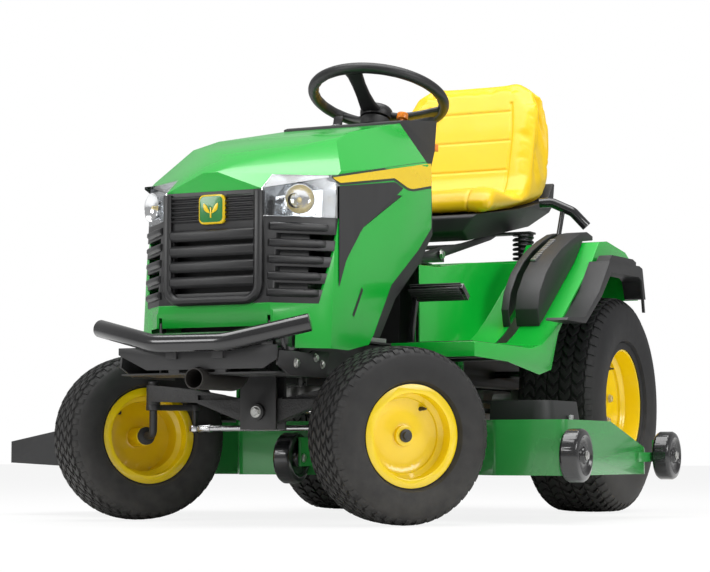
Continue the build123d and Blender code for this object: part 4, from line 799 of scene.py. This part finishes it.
def block_shape(outside, along0, along1, length, bend, height):
    """One zigzag tread block that follows the crown, in mm, at angle zero on the X axis."""
    stations = [along0 + (along1 - along0) * k / 4 for k in range(5)]
    points = []
    for along in stations:
        share = (along - along0) / (along1 - along0)
        shift = bend * (1 - abs(2 * share - 1)) - bend / 2
        base = crown_radius(outside, along)
        inset = 1.2 if share in (0, 1) else 0
        for u, r in ((-length / 2, base - 3), (-length / 2 + 1.2, base + height),
                     (length / 2 - 1.2, base + height), (length / 2, base - 3)):
            tip = along + (inset if share == 0 else -inset) * (1 if r > base else 0)
            points.append(Vector((r, u + shift, tip)) / 1000)
    faces = skin(5, 4) + [(0, 1, 2, 3), (19, 18, 17, 16)]
    return points, faces


def ring_tree(mat):
    """Copies of a part set evenly round the Z axis, with their Count and First angle."""
    tree = bpy.data.node_groups.new("ring", "GeometryNodeTree")
    for label, kind in (("Part", "NodeSocketObject"), ("Count", "NodeSocketInt"),
                        ("First", "NodeSocketFloat")):
        tree.interface.new_socket(label, in_out="INPUT", socket_type=kind)
    start = tree.nodes.new("NodeGroupInput")
    line = tree.nodes.new("GeometryNodeMeshLine")
    index = tree.nodes.new("GeometryNodeInputIndex")
    share = tree.nodes.new("ShaderNodeMath")
    share.operation = "DIVIDE"
    turn = tree.nodes.new("ShaderNodeMath")
    turn.operation = "MULTIPLY_ADD"
    turn.inputs[1].default_value = 2 * pi
    angle = tree.nodes.new("ShaderNodeCombineXYZ")
    source = tree.nodes.new("GeometryNodeObjectInfo")
    copies = tree.nodes.new("GeometryNodeInstanceOnPoints")
    line.inputs["Offset"].default_value = (0, 0, 0)
    tree.links.new(start.outputs["Count"], line.inputs["Count"])
    tree.links.new(index.outputs["Index"], share.inputs[0])
    tree.links.new(start.outputs["Count"], share.inputs[1])
    tree.links.new(share.outputs["Value"], turn.inputs[0])
    tree.links.new(start.outputs["First"], turn.inputs[2])
    tree.links.new(turn.outputs["Value"], angle.inputs["Z"])
    tree.links.new(start.outputs["Part"], source.inputs["Object"])
    tree.links.new(line.outputs["Mesh"], copies.inputs["Points"])
    tree.links.new(source.outputs["Geometry"], copies.inputs["Instance"])
    tree.links.new(angle.outputs["Vector"], copies.inputs["Rotation"])
    tree_end(tree, copies.outputs["Instances"], mat)
    return tree


def joined(name, meshes, place):
    """Several meshes as one, moved to their place."""
    bm = bmesh.new()
    for mesh in meshes:
        bm.from_mesh(mesh)
    out = bpy.data.meshes.new(name)
    bm.to_mesh(out)
    bm.free()
    out.transform(place)
    out.materials.append(meshes[0].materials[0])
    return out


def wheel_place(centre, out):
    """The matrix that takes a wheel made round Z to its place, its Z along the way out."""
    turn = Vector((0, 0, 1)).rotation_difference(out).to_matrix().to_4x4()
    return Matrix.Translation(centre) @ turn


def tyre(name, node, body, radius, width, seat, flange, rim_width, block, count, place):
    outside, inside = tyre_line(radius, width, seat, flange, rim_width, block)
    steps = 96
    line = outside + inside
    points = []
    for along, r in line:
        for k in range(steps):
            a = 2 * pi * k / steps
            points.append(Vector((r * cos(a), r * sin(a), along)) / 1000)
    total = len(line)
    faces = [(i * steps + k, i * steps + (k + 1) % steps, (i + 1) % total * steps + (k + 1) % steps,
              (i + 1) % total * steps + k) for i in range(total) for k in range(steps)]
    carcass = bpy.data.meshes.new("carcass")
    carcass.from_pydata([tuple(p) for p in points], [], faces)
    faced_out(carcass)
    carcass.materials.append(tyre_rubber)
    meshes = [carcass]
    half = width / 2
    pitch = 2 * pi * radius / count
    rows = [(-0.13, 0.13, 0.66, 0, 0.5), (0.16, 0.42, 0.64, 0.5, 0.5), (-0.42, -0.16, 0.64, 0.5, -0.5),
            (0.45, 0.71, 0.62, 0, 0.45), (-0.71, -0.45, 0.62, 0, -0.45)]
    for low, high, share, first, bend in rows:
        one = pattern(*block_shape(outside, half * low, half * high, pitch * share, pitch * bend,
                                   block - 0.4))
        meshes.append(grown(ring_tree(tyre_rubber), {"Part": one, "Count": count,
                                                     "First": first * 2 * pi / count}))
        bpy.data.objects.remove(one)
    for low, high in ((0.735, 0.9), (-0.9, -0.735)):
        one = pattern(*block_shape(outside, half * low, half * high, pitch * 0.55, 0, block * 0.62))
        meshes.append(grown(ring_tree(tyre_rubber), {"Part": one, "Count": count,
                                                     "First": 0.5 * 2 * pi / count}))
        bpy.data.objects.remove(one)
    obj = finished(name, joined(name, meshes, place), body, 0.0, 30)
    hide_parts(node)


rest_steer = radians(-37)
camber = radians(2.5)
wheels = {}
for side, hand in ((1, "left"), (-1, "right")):
    out = Vector((-side * cos(camber) * sin(rest_steer), side * cos(camber) * cos(rest_steer),
                  -sin(camber)))
    wheels[f"{hand}_front"] = (middle_of(f"{hand}_front_tyre"), out, 205, 165, 101, 118, 134, 5.5, 46)
    wheels[f"{hand}_rear"] = (middle_of(f"{hand}_rear_tyre"), Vector((0, side, 0)), 303, 236, 153, 171,
                              210, 6.5, 58)
for name, (centre, out, radius, width, seat, flange, rim_width, block, count) in wheels.items():
    low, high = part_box(f"{name}_tyre")
    tyre(f"{name}_turf_tyre", f"{name}_tyre", f"{name}_wheel", radius - 0.8, width, seat, flange, rim_width,
         block, count, wheel_place(centre, out))

# ---------------------------------------------------------------- rims
# Pressed steel rims in yellow enamel, with a valve through each dish. The rear ones are held by
# five wheel bolts and the front ones run on the spindles behind a cap.

rim_enamel = finish("rim_enamel", (0.93, 0.66, 0.0), 0.24, coat=0.5, mottle=0.04, mottle_size=0.06,
                    grain=0.05, grain_size=0.004, dust=0.04)
dress(rim_enamel, 1.2, *[f"{name}_rim" for name in wheels], segments=2, turn=40)
valve_rubber = finish("valve_rubber", (0.02, 0.02, 0.02), 0.5, mottle=0.2, mottle_size=0.01, grain=0.2)
valve = [(0, 6), (4, 6), (6, 4.5), (20, 4), (21, 3), (21, 2.6), (29, 2.6), (30, 2)]
for name, (centre, out, radius, width, seat, flange, rim_width, block, count) in wheels.items():
    upward = (Vector((0, 0, 1)) - out * out.z).normalized()
    along = upward.cross(out).normalized()
    seat_point = centre + out * 0.016 + (upward * 0.8 + along * 0.6) * (seat - 24) / 1000
    spun(f"{name}_valve", valve, seat_point, out, valve_rubber, f"{name}_wheel", "soft_rubber", 20)
    if "rear" in name:
        spots = [centre + out * 0.040 + (upward * cos(2 * pi * k / 5) + along * sin(2 * pi * k / 5)) * 0.057
                 for k in range(5)]
        bolts(f"{name}_wheel_bolts", spots, out, 10, 9, zinc, f"{name}_wheel")

# ---------------------------------------------------------------- steering and front axle
# The axle is a rough black casting that rocks on one pin. The spindles are bent steel with flat
# arms, and bright rods with black rod ends join them to the toothed sector.

rough_casting = finish("rough_casting", (0.022, 0.022, 0.023), 0.5, mottle=0.3, mottle_size=0.02,
                       grain=0.8, grain_size=0.004, dust=0.15)
dress(rough_casting, 2.5, "front_axle_beam", segments=3)
dress(satin_black, 1.2, "left_spindle", "right_spindle")
dress(bright_steel, 0.6, "tie_rod", "drag_link", "steering_sector", "steering_pinion", "steering_shaft")

# ---------------------------------------------------------------- drive
# A ribbed twin-cylinder engine in cast aluminium with a black blower housing, its muffler in
# heat-proof black, a milky fuel tank, a battery and a cast transaxle.

cast_aluminium = finish("cast_aluminium", (0.5, 0.5, 0.5), 0.45, metal=0.9, mottle=0.2, mottle_size=0.03,
                        grain=0.6, grain_size=0.003)
heat_black = finish("heat_black", (0.03, 0.027, 0.025), 0.5, metal=0.4, mottle=0.4, mottle_size=0.05,
                    grain=0.3, grain_size=0.002)
milky = finish("milky_tank", (0.72, 0.71, 0.66), 0.4, mottle=0.05, mottle_size=0.1, grain=0.2)
dress(cast_aluminium, 1.5, "engine_block", "transaxle")
dress(black_moulding, 4, "engine_shroud", segments=3)
dress(black_moulding, 2, "battery")
dress(heat_black, 3, "muffler")
dress(milky, 6, "fuel_tank", segments=3)
dress(zinc, 0.8, "crank_pulley")

# ---------------------------------------------------------------- dash
# The dash tower is a textured black moulding behind the hood. It carries the steering column,
# the pull knob for the blades, the throttle and the key.

textured_black = finish("textured_black", (0.02, 0.02, 0.021), 0.5, mottle=0.2, mottle_size=0.1,
                        grain=0.5, grain_size=0.0012, spread=0.08)
orange_knob = finish("orange_knob", (0.9, 0.25, 0.01), 0.3, coat=0.3, mottle=0.06, mottle_size=0.02,
                     grain=0.1)
dress(textured_black, 3, "dash_tower", segments=3)
dress(orange_knob, 2, "blade_clutch_knob", "throttle_lever", segments=3)
dress(black_moulding, 1.2, "ignition_key")

tilt = radians(17.45)
column = Vector((-sin(tilt), 0, cos(tilt)))
hub = at(591, 0, 1117)
key_seat = at(650, -95, 1035.5)
key_line = [(0, 17), (4, 17), (5, 15.5), (5, 11), (0, 11)]
spun("key_ring", key_line, key_seat - column * 0.003, column, bright_steel, "chassis", "chrome_trim", 40)

# ---------------------------------------------------------------- steering wheel
# A moulded wheel with a thick soft rim, finger scallops on its inner side and three dished
# spokes. A round cap covers the hub.

ring_radius = 176
grip_radius = 15
scallops = 26
wheel_x = Vector((cos(tilt), 0, sin(tilt)))
wheel_y = Vector((0, 1, 0))


def on_wheel(r, angle, up):
    """A point of the steering wheel: radius, angle from straight ahead, height over its rim."""
    return hub + (wheel_x * cos(angle) + wheel_y * sin(angle)) * r / 1000 + column * up / 1000


def ring_grip():
    around, section = 208, 18
    points = []
    for i in range(around):
        a = 2 * pi * i / around
        for j in range(section):
            b = 2 * pi * j / section
            inner = max(0, -cos(b))
            dip = 1.8 * inner * (0.5 + 0.5 * cos(scallops * a))
            points.append(on_wheel(ring_radius + (grip_radius - dip) * cos(b), a,
                                   (grip_radius - 0.6) * sin(b)))
    faces = [(i * section + j, i * section + (j + 1) % section,
              (i + 1) % around * section + (j + 1) % section, (i + 1) % around * section + j)
             for i in range(around) for j in range(section)]
    return points, faces


def spoke(angle):
    """A dished spoke: its rounded section sweeps from the hub up into the rim."""
    stations = [(20, -50, 27, 9), (45, -49, 26, 9), (62, -45, 23, 8.5), (90, -34, 20, 8),
                (120, -21, 19.5, 8), (148, -8, 22, 8), (164, -2, 27, 9), (176, 0, 31, 9)]
    points = []
    for r, up, half, thick in stations:
        for k in range(16):
            b = 2 * pi * k / 16
            across = half * (abs(cos(b)) ** 0.6) * (1 if cos(b) > 0 else -1)
            lift = thick * (abs(sin(b)) ** 0.7) * (1 if sin(b) > 0 else -1)
            base = on_wheel(r, angle, up + lift)
            side_way = -wheel_x * sin(angle) + wheel_y * cos(angle)
            points.append(base + side_way * across / 1000)
    rows = len(stations)
    faces = skin(rows, 16) + [tuple(range(16)), tuple(range(rows * 16 - 1, rows * 16 - 17, -1))]
    return points, faces


grip_rubber = finish("grip_rubber", (0.013, 0.013, 0.014), 0.42, mottle=0.2, mottle_size=0.04, grain=0.35,
                     grain_size=0.0009)
steering_ring = part("steering_ring", *ring_grip(), grip_rubber, "steering", "black_plastic")
for angle, place_name in ((0, "front"), (128, "left"), (232, "right")):
    part(f"{place_name}_spoke", *spoke(radians(angle)), grip_rubber, "steering", "black_plastic",
         0.0, 50)
boss_line = [(-62, 30), (-60, 41), (-54, 43), (-44, 44), (-36, 42), (-31, 37), (-29, 30), (-28.6, 10),
             (-28.5, 0.01)]
spun("steering_boss", boss_line, hub, column, grip_rubber, "steering", "black_plastic", 48, 0, 50)
cap_line = [(-30, 27), (-27.4, 27), (-26.6, 25), (-26.2, 10), (-26.1, 0.01)]
spun("steering_cap", cap_line, hub, column, gloss_black, "steering", "gloss_black", 48, 0, 50)
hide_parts("steering_wheel")

# ---------------------------------------------------------------- controls on the fender
# The lift lever comes up through a slot in a black console with notches for each cut height. A
# ribbed trim guards the edge of each fender, and the pedals have rubber pads with ribs.

dress(textured_black, 3, "lift_console", segments=3)
dress(textured_black, 2.5, "fender_trims", segments=3)
dress(gloss_black, 1, "lift_lever")
dress(gloss_black, 2, "brake_pedal", "forward_pedal", "reverse_pedal")
notch_metal = finish("notch_metal", (0.32, 0.32, 0.33), 0.38, metal=0.8, mottle=0.2, mottle_size=0.02,
                     grain=0.2)
tooth = [(196, 751), (203, 748), (205, 754), (199, 757)]
row("lift_notches", *prism(tooth, 341, 357), 12, (13.4, 0, -6.0), notch_metal, "chassis", "zinc_steel", 0.6)
pad_rubber = finish("pad_rubber", (0.016, 0.016, 0.017), 0.6, mottle=0.2, mottle_size=0.02, grain=0.5,
                    grain_size=0.0012)
for node in ("brake_pedal", "forward_pedal", "reverse_pedal"):
    low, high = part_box(node)
    pad_low = (low - rear_axle) * 1000
    pad_high = (high - rear_axle) * 1000
    if node == "brake_pedal":
        reach, outer, inner = 25, pad_high.y - 3, pad_high.y - 140
    else:
        reach, outer, inner = 24, pad_low.y + 3, pad_low.y + 84
    face = Vector((2 * reach - 10, 1.1 * reach))
    back = Vector((pad_high.x - 2 * reach, high.z * 1000 - 1.1 * reach))
    way = face.normalized()
    rise = Vector((-way.y, way.x))
    for under, name_end in ((0, "ribs"), (1, "under_ribs")):
        first = back + way * 3 - rise * 0.5
        if under:
            first = back + Vector((10, -12)) + way * 3 + rise * 0.5
        up = rise * (-3.4 if under else 3.4)
        rib = [first, first + way * 5, first + way * 4.2 + up, first + way * 0.8 + up]
        step = way * (face.length - 8) / 5
        row(f"{node}_{name_end}", *prism([tuple(p) for p in rib], outer, inner), 6, (step.x, 0, step.y),
            pad_rubber, node, "soft_rubber", 0.5)

mat_rib = [(640, 432), (646, 432), (645, 436), (641, 436)]
for side, hand in ((1, "left"), (-1, "right")):
    row(f"{hand}_foot_mat", *prism(mat_rib, side * 260, side * 430), 24, (14.4, 0, 0), pad_rubber,
        "chassis", "soft_rubber", 0.6)

# ---------------------------------------------------------------- seat
# A high-backed seat in yellow vinyl over foam: a side bolster each side, sewn cross seams in the
# middle, a raised head and a black moulded pan under it. Coil springs carry it on a steel frame.

dress(satin_black, 1.2, "seat_frame")
dress(textured_black, 4, "seat_pan", segments=3)
spring_steel = finish("spring_steel", (0.05, 0.05, 0.052), 0.35, metal=0.7, mottle=0.2, mottle_size=0.02)
dress(spring_steel, 1, "seat_support")


def coil_tree(mat):
    """A round wire wound into a spring, with its Turns, Coil radius, Height and Wire radius."""
    tree = bpy.data.node_groups.new("coil", "GeometryNodeTree")
    for label, kind in (("Turns", "NodeSocketFloat"), ("Coil", "NodeSocketFloat"),
                        ("Height", "NodeSocketFloat"), ("Wire", "NodeSocketFloat")):
        tree.interface.new_socket(label, in_out="INPUT", socket_type=kind)
    start = tree.nodes.new("NodeGroupInput")
    spiral = tree.nodes.new("GeometryNodeCurveSpiral")
    spiral.inputs["Resolution"].default_value = 20
    circle = tree.nodes.new("GeometryNodeCurvePrimitiveCircle")
    circle.inputs["Resolution"].default_value = 10
    swept = tree.nodes.new("GeometryNodeCurveToMesh")
    swept.inputs["Fill Caps"].default_value = True
    tree.links.new(start.outputs["Turns"], spiral.inputs["Rotations"])
    tree.links.new(start.outputs["Coil"], spiral.inputs["Start Radius"])
    tree.links.new(start.outputs["Coil"], spiral.inputs["End Radius"])
    tree.links.new(start.outputs["Height"], spiral.inputs["Height"])
    tree.links.new(start.outputs["Wire"], circle.inputs["Radius"])
    tree.links.new(spiral.outputs["Curve"], swept.inputs["Curve"])
    tree.links.new(circle.outputs["Curve"], swept.inputs["Profile Curve"])
    tree_end(tree, swept.outputs["Mesh"], mat)
    return tree


for side, hand in ((1, "left"), (-1, "right")):
    coil = grown(coil_tree(spring_steel), {"Turns": 6.0, "Coil": 0.027, "Height": 0.080, "Wire": 0.0042})
    coil.transform(Matrix.Translation(at(31, side * 196, 706)))
    finished(f"{hand}_seat_spring", coil, "chassis", 0, 60)
    spun(f"{hand}_spring_cap", [(0, 30), (3, 30), (4, 27)], at(31, side * 196, 787), (0, 0, 1),
         spring_steel, "chassis", "spring_steel", 40)
    bolts(f"{hand}_seat_pivot_bolt", [at(440, side * 117, 703)], (0, side, 0), 11, 8, zinc, "seat_tilt")

seat_half = 219
seat_outline = [(331, 834), (333, 858), (318, 884), (286, 897), (220, 896), (140, 892), (76, 896),
                (42, 916), (18, 960), (-6, 1040), (-28, 1110), (-50, 1176), (-70, 1232), (-84, 1255),
                (-104, 1262), (-124, 1252), (-133, 1215), (-141, 1120), (-143, 1050), (-141, 985),
                (-124, 945), (-96, 910), (-30, 892), (60, 872), (99, 865), (190, 851), (281, 838),
                (312, 832)]


def head_width(z):
    """Half the seat's width at a height: the shoulders step in towards the raised head."""
    if z < 1140:
        return seat_half
    if z < 1228:
        return seat_half - 22 * ((z - 1140) / 88) ** 2
    return seat_half - 22 - 46 * min(1, (z - 1228) / 34)


def seat_body():
    """The stuffed form as rings of points from the right side to the left."""
    n = len(seat_outline)
    mid = [(sum(p[k] for p in seat_outline) / n) for k in (0, 1)]
    normals = []
    for i, (x, z) in enumerate(seat_outline):
        (x0, z0), (x1, z1) = seat_outline[i - 1], seat_outline[(i + 1) % n]
        run = Vector((x1 - x0, z1 - z0)).normalized()
        normals.append(Vector((run.y, -run.x)))
    rings = []
    lips = [(1.0, 20), (0.985, 12), (0.95, 5), (0.89, 1), (0.8, 0), (0.6, 2), (0.3, 3), (0, 3)]
    shares = [(-s, d) for s, d in lips] + [(s, d) for s, d in reversed(lips[:-1])]
    for share, inset in shares:
        ring = []
        for (x, z), normal in zip(seat_outline, normals):
            spot = Vector((x, z)) + normal * inset * -1
            ring.append(at(spot.x, share * head_width(z), spot.y))
        rings.append(ring)
    points = [p for ring in rings for p in ring]
    count = len(rings)
    faces = skin(count, n) + [tuple(range(n - 1, -1, -1)), tuple((count - 1) * n + k for k in range(n))]
    return points, faces


vinyl = finish("yellow_vinyl", (0.82, 0.53, 0.0), 0.36, coat=0.12, mottle=0.035, mottle_size=0.08,
               grain=0.3, grain_size=0.0022, spread=0.06)
pad_points, pad_faces = seat_body()
pad_mesh = bpy.data.meshes.new("seat_pad")
pad_mesh.from_pydata([tuple(p) for p in pad_points], [], pad_faces)
faced_out(pad_mesh)
pad = linked(bpy.data.objects.new("seat_pad", pad_mesh))


def baked(obj):
    """Replaces a piece's mesh by what its modifiers make of it."""
    seen = obj.evaluated_get(bpy.context.evaluated_depsgraph_get())
    mesh = bpy.data.meshes.new_from_object(seen)
    obj.modifiers.clear()
    obj.data = mesh


remesh = pad.modifiers.new("cover", "REMESH")
remesh.mode = "VOXEL"
remesh.voxel_size = 0.006
smooth = pad.modifiers.new("soften", "SMOOTH")
smooth.factor = 0.5
smooth.iterations = 6
baked(pad)
before = [v.co.copy() for v in pad.data.vertices]
cloth = pad.modifiers.new("stuffing", "CLOTH")
cloth.settings.use_pressure = True
cloth.settings.uniform_pressure_force = 4
cloth.settings.effector_weights.gravity = 0
cloth.point_cache.frame_start = 1
cloth.point_cache.frame_end = 20
for step in range(1, 21):
    bpy.context.scene.frame_set(step)
baked(pad)
bpy.context.scene.frame_set(1)
swell = 0.006
for vertex, start in zip(pad.data.vertices, before):
    move = vertex.co - start
    if move.length > swell:
        vertex.co = start + move * (swell / move.length)
divide = pad.modifiers.new("fine", "SUBSURF")
divide.levels = 1
divide.render_levels = 1
baked(pad)


def sewn(x, y, z):
    """How deep the cover is pulled in at a point, in mm, by its seams."""
    depth = 0.0
    if x > -60 + (1262 - z) * 0.12 or z < 940:
        bolster = 142 - 18 * max(0.0, min(1.0, (z - 1100) / 130))
        depth = max(depth, 4.5 * exp(-((abs(y) - bolster) / 3.4) ** 2))
        if abs(y) < bolster and z > 930:
            for seam in (985, 1075, 1165):
                depth = max(depth, 3.6 * exp(-((z - seam) / 3.2) ** 2))
        if abs(y) < bolster and z < 930:
            for seam in (120, 210):
                depth = max(depth, 3.6 * exp(-((x - seam) / 3.2) ** 2))
    return depth


bm = bmesh.new()
bm.from_mesh(pad.data)
bm.normal_update()
moves = []
for vertex in bm.verts:
    spot = (vertex.co - rear_axle) * 1000
    facing = vertex.normal.x > 0.15 or vertex.normal.z > 0.4
    depth = sewn(spot.x, spot.y, vertex.co.z * 1000) if facing else 0
    crease = noise.noise(vertex.co * 14) * 0.5
    moves.append(vertex.normal * (crease - depth) / 1000)
for vertex, move in zip(bm.verts, moves):
    vertex.co += move
for face in bm.faces:
    face.smooth = True
bm.to_mesh(pad.data)
bm.free()
pad.data.materials.clear()
pad.data.materials.append(vinyl)
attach(pad, "seat_slide")
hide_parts("seat_cushion")

# ---------------------------------------------------------------- mower deck
# A welded steel deck in green enamel with black covers over its belt, three blades below it, and
# gauge wheels at its corners. A rubbery black chute hangs on a rod at the right.

deck_enamel = finish("deck_enamel", (0.018, 0.27, 0.045), 0.26, coat=0.45, mottle=0.06, mottle_size=0.15,
                     grain=0.08, grain_size=0.004, dust=0.1)
dress(deck_enamel, 2.5, "deck_shell", segments=3)
dress(textured_black, 5, "deck_covers", segments=3)
dress(textured_black, 2.5, "discharge_chute", segments=3)
dress(cast_aluminium, 1.5, "spindle_housings")
blade_steel = finish("blade_steel", (0.16, 0.15, 0.14), 0.4, metal=0.9, mottle=0.3, mottle_size=0.03,
                     grain=0.3, grain_size=0.002)
dress(blade_steel, 1, "left_blade", "middle_blade", "right_blade")
belt_rubber = finish("belt_rubber", (0.02, 0.02, 0.02), 0.7, mottle=0.2, mottle_size=0.02, grain=0.4)
dress(belt_rubber, 1, "blade_belt")
gauge_nodes = ("left_front", "left_rear", "right_rear", "middle_front")
dress(gloss_black, 2, *[f"{name}_gauge_wheel" for name in gauge_nodes], segments=3, turn=30)
for name in gauge_nodes:
    spot = middle_of(f"{name}_gauge_wheel")
    side = -1 if name.startswith("right") else 1
    reach = 0.026 if name != "middle_front" else 0.033
    bolts(f"{name}_gauge_bolt", [spot + Vector((0, side * reach, 0))], (0, side, 0), 9, 4.5, zinc, "deck")
port = [(0, 16), (3, 16), (4, 14), (12, 13), (13, 9), (26, 8.6), (27, 9.6), (34, 9.6), (35, 8)]
spun("wash_port", port, at(654, 560, 226), (0, 0, 1), bright_steel, "deck", "zinc_steel", 32)

low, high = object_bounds()
